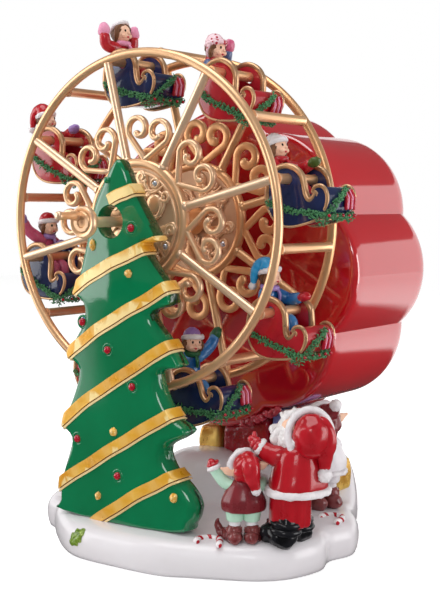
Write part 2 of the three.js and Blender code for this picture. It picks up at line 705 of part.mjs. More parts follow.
function buildMovement(root) {
  const movement = addGroup(root, 0, 0, axleHeight - gearDistance);
  const half = movementWidth / 2;
  const rear = movementFront + movementLength;
  const floor = -cylinderGearRadius - gearModule - gap - movementPlate;

  // Bracket: a U of plate along Y whose front upright also carries the wheel's bush
  const upright = outline([
    [-half, floor], [half, floor], [half, floor + 2 * movementPlate],
    [bearingReach, gearDistance + bearingReach], [-bearingReach, gearDistance + bearingReach],
    [-half, floor + 2 * movementPlate],
  ]);
  const rearUpright = outline([
    [-half, floor], [half, floor], [half, floor + 2 * movementPlate], [bearingReach, bearingReach],
    [-bearingReach, bearingReach], [-half, floor + 2 * movementPlate],
  ]);
  const combSeatBack = cylinderRadius + combToothLength + combRoot;
  const combSeatFront = cylinderRadius + combToothLength;
  const bracket = joined([
    slab(upright, movementFront, movementFront + movementPlate),
    slab(rearUpright, rear - movementPlate, rear),
    block(-half, combSeatBack, movementFront, rear, floor, floor + movementPlate),
    block(combSeatFront, combSeatBack, gearBack + gap, rear, floor, -combThickness - gap),
  ]);
  const pivotHole = new THREE.CylinderGeometry(cylinderPivot + runningGap, cylinderPivot + runningGap,
    4 * rear, 10);
  const bushSeat = new THREE.CylinderGeometry(bushRadius + gap, bushRadius + gap, 4 * movementPlate, 16);
  addPiece(movement, 'movement_bracket', cutBy(bracket, [
    pivotHole,
    bushSeat.translate(0, movementFront + movementPlate / 2, gearDistance),
  ]), brass);

  const cylinderFront = gearBack;
  const cylinderBack = rear - movementPlate - gap;
  const arborFront = movementFront + gap;
  const gear = slab(gearOutline(cylinderTeeth, cylinderGearRadius, Math.PI / 2 + Math.PI / cylinderTeeth),
    gearFront, gearBack);
  const barrel = turned([
    [0, arborFront], [cylinderPivot, arborFront], [cylinderPivot, cylinderFront - overrun / 6],
    [cylinderRadius, cylinderFront - overrun / 6], [cylinderRadius, cylinderBack - combTooth],
    [cylinderPivot, cylinderBack - combTooth], [cylinderPivot, rear - gap], [0, rear - gap],
  ], 14);
  addPiece(movement, 'pinned_cylinder', joined([gear, barrel]), brass);

  // Comb: tuned teeth of one plate, their tips just clear of the cylinder
  const combFront = gearBack + 2 * gap;
  const pitch = (cylinderBack - combTooth - combFront) / combTeeth;
  const tips = cylinderRadius + runningGap;
  const comb = [[combSeatBack, combFront], [combSeatBack, combFront + combTeeth * pitch]];
  for (let i = combTeeth - 1; i >= 0; i -= 1) {
    const y = combFront + i * pitch;
    comb.push([tips, y + combTooth], [tips, y]);
    if (i > 0) comb.push([combSeatFront, y], [combSeatFront, y - pitch + combTooth]);
  }
  const plate = new THREE.ExtrudeGeometry(outline(comb), { depth: combThickness, bevelEnabled: false });
  addPiece(movement, 'comb', plate.translate(0, 0, -combThickness), steel);

  // Bush in the drum's front wall, in which the wheel's shaft turns
  const bush = addGroup(root, 0, 0, axleHeight);
  const bore = shaftRadius + runningGap;
  const bushBack = gearFront - gap;
  addPiece(bush, 'shaft_bush', turned([
    [bore, drumFront - bushFlange], [bushFlangeRadius, drumFront - bushFlange],
    [bushFlangeRadius, drumFront - gap], [bushRadius, drumFront - gap], [bushRadius, bushBack],
    [bore, bushBack], [bore, drumFront - bushFlange],
  ], 16), brass);
}

// Snow base

const baseShares = [
  [-0.226, -0.991], [0.057, -1], [0.34, -0.982], [0.509, -0.908], [0.67, -0.834], [0.84, -0.742],
  [0.953, -0.604], [1, -0.401], [0.953, -0.235], [0.991, -0.06], [0.925, 0.106], [0.811, 0.253],
  [0.736, 0.401], [0.651, 0.567], [0.5, 0.77], [0.292, 0.935], [0.009, 1], [-0.226, 0.982],
  [-0.481, 0.899], [-0.708, 0.751], [-0.858, 0.539], [-0.896, 0.309], [-0.934, 0.106], [-1, -0.124],
  [-0.981, -0.355], [-0.877, -0.558], [-0.708, -0.659], [-0.613, -0.76], [-0.415, -0.908],
];
const baseSteps = 36;

function bump(x, y, atX, atY, radius, height) {
  const distance = Math.hypot(x - atX, y - atY) / radius;
  return distance < 1 ? height * (1 - distance ** 2) ** 2 * (1 + 2 * distance ** 2) : 0;
}

// The outline's points, about the middle of the base
function snowEdge() {
  const curve = new THREE.CatmullRomCurve3(
    baseShares.map(([x, y]) => new THREE.Vector3(x * baseHalfWidth, y * baseHalfDepth, 0)), true);
  return curve.getSpacedPoints(baseSteps).slice(0, baseSteps);
}

// How far out a place lies, from 0 in the middle of the base to 1 on its outline.
function ringShare(x, y, edge) {
  const place = new THREE.Vector3(x - baseCentreX, y - baseCentreY, 0);
  for (let i = 0; i < edge.length; i += 1) {
    const a = edge[i];
    const b = edge[(i + 1) % edge.length];
    const whole = a.x * b.y - a.y * b.x;
    const towardsB = (a.x * place.y - a.y * place.x) / whole;
    const towardsA = (place.x * b.y - place.y * b.x) / whole;
    if (towardsA >= 0 && towardsB >= 0) return towardsA + towardsB;
  }
  return 0;
}

function snowHeight(x, y, share) {
  const crown = baseEdgeHeight + baseCrown * (1 - Math.min(share, 1) ** 8);
  const hill = bump(x, y, hillX, hillY, hillRadius, hillHeight);
  const terrace = bump(x, y, terraceX, terraceY, terraceRadius, terraceHeight * terraceSteepness);
  return crown + Math.max(hill, Math.min(terrace, terraceHeight));
}

function snowBody(edge) {
  const ring = (scale, height) => edge.map((p) => {
    const x = p.x * scale + baseCentreX;
    const y = p.y * scale + baseCentreY;
    return new THREE.Vector3(x, y, height ?? snowHeight(x, y, scale));
  });
  const sideShares = [[0.985, 0], [1, 0.3], [0.99, 0.8]];
  const topShares = [0.94, 0.78, 0.6, 0.42, 0.24];
  const rings = sideShares.map(([scale, height]) => ring(scale, height * baseEdgeHeight));
  topShares.forEach((scale) => rings.push(ring(scale)));
  return toSolid(loft(rings));
}

// Presents: their left side and width as shares of the pile's width, then their front and
// depth as shares of its depth

const presentFloor = crownHeight + terraceHeight - presentSink;
const presents = [
  { name: 'gold_present', shares: [0.17, 0.164, 0, 0.55], finish: presentGold },
  { name: 'red_present', shares: [0.3375, 0.31, 0, 0.55], finish: presentRed },
  { name: 'blue_present', shares: [0.651, 0.179, 0.042, 0.484], finish: presentBlue },
  { name: 'green_present', shares: [0, 0.319, 0.613, 0.387], finish: treeGreen },
];
const sidePresent = { name: 'side_present', shares: [0.851, 0.149, 0.194, 0.242], finish: presentGold };

function presentSides({ shares: [left, width, front, depth] }) {
  const x0 = pileLeft + left * pileWidth;
  const y0 = pileFront + front * pileDepth;
  return [x0, x0 + width * pileWidth, y0, y0 + depth * pileDepth];
}

// The hollow in the snow that a present stands in
function presentHollow(sides, floor, top) {
  const [x0, x1, y0, y1] = sides;
  return block(x0 - gap, x1 + gap, y0 - gap, y1 + gap, floor - gap, top);
}

// Lowest point of the drum over a stretch of X, where a present under it has to stop.
function drumUnderside(x0, x1) {
  const steps = 90;
  let lowest = axleHeight;
  for (let i = 0; i < steps; i += 1) {
    const angle = -Math.PI * (i / steps);
    const place = onWheel(angle, drumOutlineRadius(angle, drumRadius, drumValleyRadius));
    const x = place.x + drumOffset;
    if (x > x0 && x < x1) lowest = Math.min(lowest, place.z + drumCentreHeight);
  }
  return lowest;
}

// A box with chamfered edges and a raised ribbon over its middle
function present([x0, x1, y0, y1], floor, top) {
  const corner = presentCorner;
  const ring = (inset, z) => {
    const [left, right] = [x0 + inset, x1 - inset];
    const [front, rear] = [y0 + inset, y1 - inset];
    return [
      [left + corner, front], [right - corner, front], [right, front + corner], [right, rear - corner],
      [right - corner, rear], [left + corner, rear], [left, rear - corner], [left, front + corner],
    ].map(([x, y]) => new THREE.Vector3(x, y, z));
  };
  const body = loft([
    ring(ribbonRise, floor), ring(ribbonRise, top - corner), ring(ribbonRise + corner, top - ribbonRise),
  ]);
  const middle = (x0 + x1) / 2;
  const half = ribbonWidth / 2;
  return joined([body, block(middle - half, middle + half, y0, y1, floor, top - corner / 2)]);
}

// Standing figures, in shares of their height, facing +X

const oldManShares = {
  trunk: [
    [0.16, 0.14, 1.1, -0.02], [0.42, 0.155, 1.2, -0.03], [0.43, 0.215, 1.1, -0.03],
    [0.6, 0.19, 1.1, -0.03], [0.74, 0.145, 1.15, -0.03], [0.78, 0.15, 1, 0.01], [0.86, 0.175, 0.95, -0.03],
    [0.94, 0.15, 0.95, -0.06], [1, 0.06, 1, -0.08],
  ],
  limbs: [
    ...pair([[-0.01, 0.09, 0], [-0.02, 0.085, 0.19], 0.11, 0.09]),
    ...pair([[0, 0.1, 0.05], [0.14, 0.12, 0.045], 0.07, 0.055]),
    [[-0.14, 0, 0.88], [-0.25, 0.04, 0.56], 0.11, 0.05],
    [[-0.03, 0.13, 0.68], [0.16, 0.2, 0.7], 0.085, 0.07],
    [[0.12, 0.2, 0.7], [0.37, 0.13, 0.77], 0.075, 0.055],
    [[-0.03, -0.13, 0.68], [0.24, -0.18, 0.61], 0.085, 0.06],
  ],
  balls: [[[0.13, 0, 0.78], 0.1], [[-0.25, 0.04, 0.55], 0.075]],
};

const elfTrunkShares = [
  [0.18, 0.13, 1.25], [0.29, 0.15, 1.3], [0.3, 0.22, 1.1], [0.45, 0.18, 1.1], [0.6, 0.13, 1.1],
  [0.64, 0.14, 1, -0.01], [0.76, 0.18, 1, -0.02], [0.88, 0.15, 1, -0.04], [0.95, 0.06, 1, -0.06],
];
const elfLegShares = [
  ...pair([[-0.02, 0.1, 0], [-0.01, 0.08, 0.24], 0.085, 0.09]),
  ...pair([[0.01, 0.11, 0.045], [0.16, 0.14, 0.04], 0.062, 0.03]),
];
const leftElfShares = {
  trunk: elfTrunkShares,
  limbs: [
    ...elfLegShares,
    [[-0.12, 0, 0.82], [-0.2, -0.08, 0.52], 0.1, 0.06],
    [[0, 0.1, 0.57], [0.04, 0.34, 0.81], 0.085, 0.07],
    [[0, -0.1, 0.57], [0.16, -0.2, 0.55], 0.085, 0.07],
  ],
};
const rightElfShares = {
  trunk: elfTrunkShares,
  limbs: [
    ...elfLegShares,
    [[-0.08, 0, 0.86], [-0.2, 0.02, 0.98], 0.11, 0.05],
    [[0, 0.1, 0.57], [0.05, 0.21, 0.93], 0.08, 0.065],
    [[0, -0.1, 0.57], [0.17, -0.17, 0.49], 0.08, 0.06],
  ],
};
// Where they stand: shares of the base's half width and half depth, from its middle. The
// right elf's place across is taken from the presents that it stands beside.
const besidePresents = presentSides(presents[2])[1] + elfClearance - baseCentreX;
const figures = [
  { name: 'red_coat_figure', form: oldManShares, height: oldManHeight, shares: [0.896, -0.533], turn: 180 },
  { name: 'left_elf', form: leftElfShares, height: leftElfHeight, shares: [0.687, -0.7], turn: 126 },
  { name: 'right_elf', form: rightElfShares, height: rightElfHeight,
    shares: [besidePresents / baseHalfWidth, 0.102], turn: 160 },
];
const figureFinish = { red_coat_figure: coatRed, left_elf: tunicRed, right_elf: tunicRed };

// Candy canes lying on the snow, half sunk
const canes = [
  { name: 'candy_cane_1', shares: [0.546, -0.81], turn: 31 },
  { name: 'candy_cane_2', shares: [(besidePresents + caneClearance) / baseHalfWidth, -0.066], turn: 8 },
];

// A place on the snow by its shares, with the height of the snow there
function onSnow([across, deep], edge) {
  const x = baseCentreX + across * baseHalfWidth;
  const y = baseCentreY + deep * baseHalfDepth;
  return { x, y, snowTop: snowHeight(x, y, ringShare(x, y, edge)) };
}

function cane(tube) {
  const bend = new THREE.EllipseCurve(0, 0, caneHook, caneHook, 0, Math.PI);
  const arch = new THREE.CatmullRomCurve3([
    new THREE.Vector3(caneHook, -caneLeg, 0),
    new THREE.Vector3(caneHook, -caneLeg / 2, 0),
    ...bend.getPoints(6).map((p) => new THREE.Vector3(p.x, p.y, 0)),
    new THREE.Vector3(-caneHook, -caneHook / 3, 0),
  ]);
  const section = new THREE.Shape();
  section.absarc(0, 0, tube / 2, 0, 2 * Math.PI);
  return new THREE.ExtrudeGeometry(section, {
    extrudePath: arch, steps: 8, curveSegments: 3, bevelEnabled: false,
  });
}

function buildBase(root) {
  const edge = snowEdge();
  const base = addGroup(root, 0, 0, 0);
  let snow = snowBody(edge);
  const top = crownHeight + hillHeight + terraceHeight;

  // The tree's foot stands in a slot
  const slotLeft = treeOffset - treeReach - gap;
  const slotRight = treeOffset + treeReach + gap;
  const slotBack = treeFront + treeFootThickness + gap;
  snow = cutBy(snow, [
    block(slotLeft, slotRight, treeFront - garlandRise - gap, slotBack, treeFootHeight - gap, top),
  ]);

  for (const box of presents) {
    const sides = presentSides(box);
    const lid = drumUnderside(sides[0] - gap, sides[1] + gap) - gap;
    snow = cutBy(snow, [presentHollow(sides, presentFloor, top)]);
    addPiece(base, box.name, present(sides, presentFloor, lid), box.finish);
  }
  const sides = presentSides(sidePresent);
  const middle = [(sides[0] + sides[1]) / 2, (sides[2] + sides[3]) / 2];
  const sideFloor = snowHeight(...middle, ringShare(...middle, edge)) - presentSink;
  snow = cutBy(snow, [presentHollow(sides, sideFloor, top)]);
  addPiece(base, sidePresent.name, present(sides, sideFloor, sideFloor + sidePresentHeight),
    sidePresent.finish);

  for (const { name, form, height, shares, turn } of figures) {
    const { x, y, snowTop } = onSnow(shares, edge);
    const floor = snowTop - figureSink;
    const figure = addGroup(root, x, y, floor);
    figure.rotation.z = THREE.MathUtils.degToRad(turn);
    const below = block(-height, height, -height, height, -height, 0);
    addPiece(figure, name, cutBy(sculpt(form, height), [below]), figureFinish[name]);
    const reach = figureFootShare * height;
    const pad = new THREE.CylinderGeometry(reach, reach, top, 12);
    snow = cutBy(snow, [pad.rotateX(Math.PI / 2).translate(x, y, floor - gap + top / 2)]);
  }

  for (const { name, shares, turn } of canes) {
    const { x, y, snowTop } = onSnow(shares, edge);
    const angle = THREE.MathUtils.degToRad(turn);
    const place = (shape) => shape.rotateZ(angle).translate(x, y, snowTop + gap);
    addPiece(base, name, place(cane(caneTube)), caneWhite);
    snow = cutBy(snow, [place(cane(caneTube + 2 * gap))]);
  }
  addPiece(base, 'snow_base', snow, snowWhite);
}

const wheelOrnament = new THREE.Group();
buildTree(wheelOrnament);
buildBase(wheelOrnament);
buildDrum(wheelOrnament);
buildMovement(wheelOrnament);
const wheelGroup = buildWheel(wheelOrnament);
buildGondolas(wheelGroup);

export default wheelOrnament;
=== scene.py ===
"""Musical ferris wheel: a resin and metal Christmas ornament, dressed over its frame."""
import json
import math
import bmesh
import bpy
from mathutils import Matrix, Vector, noise
from mathutils.bvhtree import BVHTree
from mathutils.geometry import delaunay_2d_cdt


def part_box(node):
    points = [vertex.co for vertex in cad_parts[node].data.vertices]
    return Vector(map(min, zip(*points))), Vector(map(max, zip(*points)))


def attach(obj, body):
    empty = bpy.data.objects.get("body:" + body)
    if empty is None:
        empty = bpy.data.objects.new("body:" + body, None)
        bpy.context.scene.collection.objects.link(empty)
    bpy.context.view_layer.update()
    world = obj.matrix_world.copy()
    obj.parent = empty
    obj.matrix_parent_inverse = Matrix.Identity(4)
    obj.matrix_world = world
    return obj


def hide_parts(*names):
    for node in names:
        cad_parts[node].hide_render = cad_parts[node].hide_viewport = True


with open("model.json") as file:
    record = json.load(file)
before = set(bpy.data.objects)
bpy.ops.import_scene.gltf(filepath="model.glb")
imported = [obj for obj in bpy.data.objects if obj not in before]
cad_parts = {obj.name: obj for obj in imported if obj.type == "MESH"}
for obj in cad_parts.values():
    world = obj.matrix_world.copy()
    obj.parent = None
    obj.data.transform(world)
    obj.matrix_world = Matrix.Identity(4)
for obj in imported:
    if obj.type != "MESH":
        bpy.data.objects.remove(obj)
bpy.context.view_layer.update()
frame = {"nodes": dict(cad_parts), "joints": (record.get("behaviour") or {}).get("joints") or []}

joint_places = {j["name"]: Vector(j["pos_m"]) for j in frame["joints"]}


def in_scene(name, data):
    """An object with this data, linked to the scene."""
    thing = bpy.data.objects.new(name, data)
    bpy.context.scene.collection.objects.link(thing)
    return thing


# Camera, at the photograph's viewing angle
camera_data = bpy.data.cameras.new("photo camera")
camera_data.lens = 71.46
camera_data.sensor_width = 36
camera = in_scene("photo camera", camera_data)
camera.matrix_world = Matrix((
    (0.80795, -0.04909, 0.58720, 0.35167),
    (0.58925, 0.06323, -0.80548, -0.44127),
    (0.00242, 0.99679, 0.08001, 0.15981),
    (0, 0, 0, 1)))
bpy.context.scene.camera = camera
bpy.context.scene.view_settings.view_transform = "Standard"

# Sizes, taken from the frame
MM = 0.001
TAU = 2 * math.pi


def size_of(node_name):
    """The low and high corner of a CAD node's box, its size and its middle."""
    low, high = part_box(node_name)
    return low, high, high - low, (low + high) / 2


axle = joint_places["wheel_spin"]
front_rim_size, front_rim_middle = size_of("front_rim")[2:]
rim_tube = front_rim_size.y / 2
wheel_radius = front_rim_size.x / 2 - rim_tube
rim_y = {-1: front_rim_middle.y, 1: size_of("rear_rim")[3].y}
sectors = 8
sector = TAU / sectors
first_seat = joint_places["gondola_1_swing"] - axle
wheel_turn = math.atan2(first_seat.z, first_seat.x)
rod_radius = size_of("sleigh_rod_3")[2].x / 2
drum_low, drum_high, drum_size, drum_middle = size_of("drum_shell")


# Shapes: each is a list of points, a list of faces and, for bare paths, a list of edges

def angles(count):
    """Evenly spaced angles of one full turn."""
    return [i * TAU / count for i in range(count)]


def round_pairs(count):
    """Each place in a closed ring with the place after it."""
    return [(i, (i + 1) % count) for i in range(count)]


def joined(*shapes):
    points, faces = [], []
    for more, corners in shapes:
        start = len(points)
        points += more
        faces += [tuple(start + c for c in face) for face in corners]
    return points, faces


def moved(shape, matrix):
    return [matrix @ p for p in shape[0]], shape[1]


def skin(rings, closed_path=False, ends="flat"):
    """Faces over rings that have equal numbers of points."""
    count = len(rings[0])
    points = [p for ring in rings for p in ring]
    faces = []
    for r in range(len(rings) if closed_path else len(rings) - 1):
        a, b = r * count, ((r + 1) % len(rings)) * count
        faces += [(a + i, a + j, b + j, b + i) for i, j in round_pairs(count)]
    if not closed_path and ends == "flat":
        for start, turn in ((0, True), ((len(rings) - 1) * count, False)):
            points.append(sum(points[start:start + count], Vector()) / count)
            hub = len(points) - 1
            for i, j in round_pairs(count):
                faces.append((start + j, start + i, hub) if turn else (start + i, start + j, hub))
    return points, faces


def curve_through(points, steps=6, closed=False):
    """A smooth path through the points."""
    pts = [Vector(p) for p in points]
    n = len(pts)
    out = []
    for i in range(n if closed else n - 1):
        if closed:
            a, b, c, d = (pts[(i + k) % n] for k in (-1, 0, 1, 2))
        else:
            a, b, c, d = pts[max(i - 1, 0)], pts[i], pts[i + 1], pts[min(i + 2, n - 1)]
        for s in range(steps):
            t = s / steps
            out.append(0.5 * (2 * b + (c - a) * t + (2 * a - 5 * b + 4 * c - d) * t ** 2
                              + (3 * b - a - 3 * c + d) * t ** 3))
    if not closed:
        out.append(pts[-1].copy())
    return out


def heading(path, i, closed=False):
    """The direction of a path at one of its points."""
    if closed:
        return (path[(i + 1) % len(path)] - path[i - 1]).normalized()
    return (path[min(i + 1, len(path) - 1)] - path[max(i - 1, 0)]).normalized()


def outward(loop):
    """Unit vectors that point out of a closed loop in X and Z."""
    ways = [heading(loop, i, True) for i in range(len(loop))]
    area = sum(loop[i].x * loop[j].z - loop[j].x * loop[i].z for i, j in round_pairs(len(loop)))
    return [Vector((t.z, 0, -t.x)) * (1 if area > 0 else -1) for t in ways]


def between(values, share):
    """A value read from an evenly spaced list, with a smooth change between entries."""
    if not isinstance(values, (list, tuple)):
        return values
    place = min(max(share, 0), 1) * (len(values) - 1)
    i = min(int(place), len(values) - 2)
    t = place - i
    t = t * t * (3 - 2 * t)
    return values[i] * (1 - t) + values[i + 1] * t


def swept(path, radius, sides=14, flat=1.0, across=None, round_ends=True, closed=False, box=0.0):
    """A tube along a path. radius is one value or a list; flat squeezes it along the
    direction across; box from 0 to 1 makes its section more like a rounded bar."""
    last = len(path) - 1
    side = Vector(across) if across is not None else heading(path, 0, closed).orthogonal()
    side.normalize()
    lengths = [0.0]
    for a, b in zip(path, path[1:]):
        lengths.append(lengths[-1] + (b - a).length)
    power = 1 - 0.62 * box
    rings = []

    def add_ring(centre, tangent, side, r):
        other = tangent.cross(side).normalized()
        ring = []
        for a in angles(sides):
            c, s = math.cos(a), math.sin(a)
            if box:
                c, s = (math.copysign(abs(v) ** power, v) for v in (c, s))
            ring.append(centre + side * (c * r * flat) + other * (s * r))
        rings.append(ring)

    def add_cap(end, tangent, side, r, degrees):
        for t in map(math.radians, degrees):
            add_ring(end + tangent * (r * math.sin(t) * 0.9), tangent, side, r * math.cos(t))

    for i in range(last + 1):
        tangent = heading(path, i, closed)
        here = (side - tangent * side.dot(tangent)).normalized()
        if across is None:
            side = here
        r = between(radius, lengths[i] / lengths[-1] if lengths[-1] else 0)
        if round_ends and not closed and i == 0:
            add_cap(path[0], tangent, here, r, (-80, -60, -35))
        add_ring(path[i], tangent, here, r)
        if round_ends and not closed and i == last:
            add_cap(path[-1], tangent, here, r, (35, 60, 80))
    return skin(rings, closed_path=closed)


def rope(points, steps, radius, sides=14, **more):
    """A tube along a smooth path through a few points."""
    return swept(curve_through(points, steps), radius, sides, **more)


def turned(profile, steps=48, axis="Y", centre=(0, 0, 0)):
    """A ring, disc or knob turned about an axis from (radius, along) pairs."""
    centre = Vector(centre)
    rings = []
    for radius, along in profile:
        ring = []
        for a in angles(steps):
            c, s = math.cos(a) * radius, math.sin(a) * radius
            ring.append(centre + Vector((s, along, c) if axis == "Y" else (along, c, s)))
        rings.append(ring)
    return skin(rings)


def ball(centre, radii, turn=None, rows=12, sides=18, rough=0.0, grain=1.0, seed=0):
    """A rounded lump, smooth or pitted."""
    if not isinstance(radii, (list, tuple, Vector)):
        radii = (radii,) * 3
    centre = Vector(centre)
    rings = []
    for r in range(rows + 1):
        v = math.pi * (r + 0.04) / (rows + 0.08) - math.pi / 2
        rings.append([Vector((math.cos(v) * math.cos(u), math.cos(v) * math.sin(u), math.sin(v)))
                      for u in angles(sides)])
    points, faces = skin(rings)
    out = []
    for p in points:
        q = p * (1 + rough * noise.noise(p * grain + Vector((seed, seed * 2, 0)))) if rough else p
        q = Vector((q.x * radii[0], q.y * radii[1], q.z * radii[2]))
        out.append(centre + (turn @ q if turn else q))
    return out, faces


def plain_mesh(name, shape):
    points, faces, *edges = shape
    mesh = bpy.data.meshes.new(name)
    mesh.from_pydata([tuple(p) for p in points], edges[0] if edges else [], faces)
    return mesh


def cleaned(mesh, weld=2e-6, slivers=0.0):
    """Welds points that meet, drops slivers and turns all faces outward."""
    work = bmesh.new()
    work.from_mesh(mesh)
    if weld:
        bmesh.ops.remove_doubles(work, verts=work.verts, dist=weld)
    if slivers:
        bmesh.ops.dissolve_degenerate(work, dist=slivers, edges=work.edges)
    bmesh.ops.recalc_face_normals(work, faces=work.faces)
    work.to_mesh(mesh)
    work.free()
    return mesh


def with_modifiers(thing):
    """The plain mesh that an object has after its modifiers."""
    bpy.context.view_layer.update()
    return bpy.data.meshes.new_from_object(thing.evaluated_get(bpy.context.evaluated_depsgraph_get()))


def boolean(shape_a, shape_b, kind, name):
    """Joins or cuts two closed shapes and gives back the plain shape."""
    first, second = (in_scene(f"{name} {k}", cleaned(plain_mesh(f"{name} {k}", shape), 1e-7))
                     for k, shape in enumerate((shape_a, shape_b)))
    modifier = first.modifiers.new("cut", "BOOLEAN")
    modifier.operation = kind
    modifier.object = second
    modifier.solver = "EXACT"
    result = with_modifiers(first)
    for thing in (first, second):
        bpy.data.objects.remove(thing)
    shape = [v.co.copy() for v in result.vertices], [tuple(p.vertices) for p in result.polygons]
    bpy.data.meshes.remove(result)
    return shape


def piece(name, shape, material, body, slot, replaces=(), sharp=40, at=None, live=()):
    """Makes one piece of the ornament from a shape in metres, and hangs it on its body."""
    mesh = cleaned(plain_mesh(name, shape if at is None else moved(shape, at)), slivers=1e-7)
    return dress(name, mesh, material, body, slot, replaces, sharp, live)


def dress(name, mesh, material, body, slot, replaces=(), sharp=40, live=()):
    """Hangs a finished mesh on its body, as one piece of the ornament."""
    mesh.polygons.foreach_set("use_smooth", [True] * len(mesh.polygons))
    if sharp:
        mesh.set_sharp_from_angle(angle=math.radians(sharp))
    obj = in_scene(name.replace(" ", "_"), mesh)
    if not mesh.materials:
        mesh.materials.append(material)
    for kind, settings in live:
        modifier = obj.modifiers.new(kind.title(), kind)
        for key, value in settings.items():
            setattr(modifier, key, value)
    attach(obj, body)
    if replaces:
        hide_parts(*replaces)
    return obj


# Finishes

def tint(code):
    """A colour written as six digits, in the renderer's linear values."""
    values = [int(code[i:i + 2], 16) / 255 for i in (0, 2, 4)]
    return tuple(v / 12.92 if v <= 0.04045 else ((v + 0.055) / 1.055) ** 2.4 for v in values) + (1.0,)


def node(tree, kind, inputs=None, **settings):
    """A node with its settings; an input is set to a value or joined to a socket."""
    new = tree.nodes.new(kind)
    for key, value in settings.items():
        setattr(new, key, value)
    for key, value in (inputs or {}).items():
        if isinstance(value, bpy.types.NodeSocket):
            tree.links.new(value, new.inputs[key])
        else:
            new.inputs[key].default_value = value
    return new


def maths(tree, operation, *values, **settings):
    """The result of one sum or comparison."""
    return node(tree, "ShaderNodeMath", dict(enumerate(values)), operation=operation, **settings).outputs[0]


def vector_maths(tree, operation, *values):
    return node(tree, "ShaderNodeVectorMath", dict(enumerate(values)), operation=operation).outputs


def ramp(tree, value, start, end, low=0.0, high=1.0, kind="LINEAR"):
    """A value carried over from one range to another, and held at its ends."""
    return node(tree, "ShaderNodeMapRange", {"Value": value, "From Min": start, "From Max": end,
                "To Min": low, "To Max": high}, interpolation_type=kind).outputs[0]


def mix(tree, factor, a, b):
    return node(tree, "ShaderNodeMix", {0: factor, 6: a, 7: b}, data_type="RGBA").outputs[2]


def blend(tree, factor, a, b):
    return node(tree, "ShaderNodeMix", {"Factor": factor, "A": a, "B": b}).outputs[0]


def cloudy_noise(tree, vector, scale, detail, roughness=0.5):
    return node(tree, "ShaderNodeTexNoise", {"Vector": vector, "Scale": scale, "Detail": detail,
                "Roughness": roughness}).outputs["Fac"]


def effect(tree, group, inputs=None):
    """A shared effect put to use in a material or in the world; gives its outputs."""
    return node(tree, "ShaderNodeGroup", inputs, node_tree=group).outputs


def shared_effect(name, inputs, outputs):
    """An empty shader group with named sockets, and the sockets inside it."""
    group = bpy.data.node_groups.new(name, "ShaderNodeTree")
    for title, value in inputs.items():
        kind = "NodeSocketVector" if value is None else "NodeSocketFloat"
        socket = group.interface.new_socket(title, in_out="INPUT", socket_type=kind)
        if value is not None:
            socket.default_value = value
    for title in outputs:
        group.interface.new_socket(title, in_out="OUTPUT", socket_type="NodeSocketFloat")
    return group, group.nodes.new("NodeGroupInput").outputs, group.nodes.new("NodeGroupOutput").inputs


def cloudy_effect():
    """Slow change of tone, as brushed resin paint has. Puts out a value round one half."""
    group, given, result = shared_effect("Cloudy paint", {"Vector": None, "Scale": 60.0, "Contrast": 1.0},
        ["Cloud"])
    centred = maths(group, "SUBTRACT", cloudy_noise(group, given["Vector"], given["Scale"], 4.0, 0.55), 0.5)
    pushed = maths(group, "MULTIPLY_ADD", centred, given["Contrast"], 0.5, use_clamp=True)
    group.links.new(pushed, result["Cloud"])
    return group


def edge_effect():
    """Masks of raised edges, where paint is thin and a highlight is painted, and of hollows, where shade is
    painted.
    """
    group, given, result = shared_effect(
        "Edges and hollows", {"Edge Start": 0.52, "Hollow Start": 0.48, "Softness": 0.06}, ["Edge", "Hollow"])
    bend = node(group, "ShaderNodeNewGeometry").outputs["Pointiness"]
    for mask, operation in (("Edge", "ADD"), ("Hollow", "SUBTRACT")):
        start = given[mask + " Start"]
        full = maths(group, operation, start, given["Softness"])
        group.links.new(ramp(group, bend, start, full), result[mask])
    return group


def cast_effect():
    """Height of the fine unevenness that a cast and dipped surface keeps."""
    group, given, result = shared_effect(
        "Cast surface", {"Vector": None, "Ripple Scale": 90.0, "Pit Scale": 900.0, "Pit Share": 0.15},
        ["Height"])
    ripple = cloudy_noise(group, given["Vector"], given["Ripple Scale"], 2.0)
    pits = cloudy_noise(group, given["Vector"], given["Pit Scale"], 3.0)
    group.links.new(maths(group, "MULTIPLY_ADD", pits, given["Pit Share"], ripple), result["Height"])
    return group


def speck_effect():
    """Round specks of random size, for moss and knitted dots."""
    group, given, result = shared_effect(
        "Specks", {"Vector": None, "Scale": 900.0, "Size": 0.3, "Share": 0.5}, ["Speck"])
    cells = node(group, "ShaderNodeTexVoronoi", {"Vector": given["Vector"], "Scale": given["Scale"]})
    dot = maths(group, "LESS_THAN", cells.outputs["Distance"], given["Size"])
    pick = node(group, "ShaderNodeSeparateColor", {0: cells.outputs["Color"]})
    chosen = maths(group, "LESS_THAN", pick.outputs[0], given["Share"])
    group.links.new(maths(group, "MULTIPLY", dot, chosen), result["Speck"])
    return group


def pale_side_effect():
    """How far a direction looks at the pale walls behind and at the left of the object."""
    group, given, result = shared_effect("Pale sides", {"Direction": None}, ["Pale"])
    way = node(group, "ShaderNodeSeparateXYZ", {0: given["Direction"]}).outputs
    behind = ramp(group, way["Y"], 0.0, 0.22, kind="SMOOTHSTEP")
    left = ramp(group, maths(group, "SUBTRACT", way["Y"], way["X"]), 0.0, 0.36, kind="SMOOTHSTEP")
    group.links.new(maths(group, "MAXIMUM", behind, left), result["Pale"])
    return group


cloudy, edges_and_hollows = cloudy_effect(), edge_effect()
cast_surface, specks, pale_sides = cast_effect(), speck_effect(), pale_side_effect()


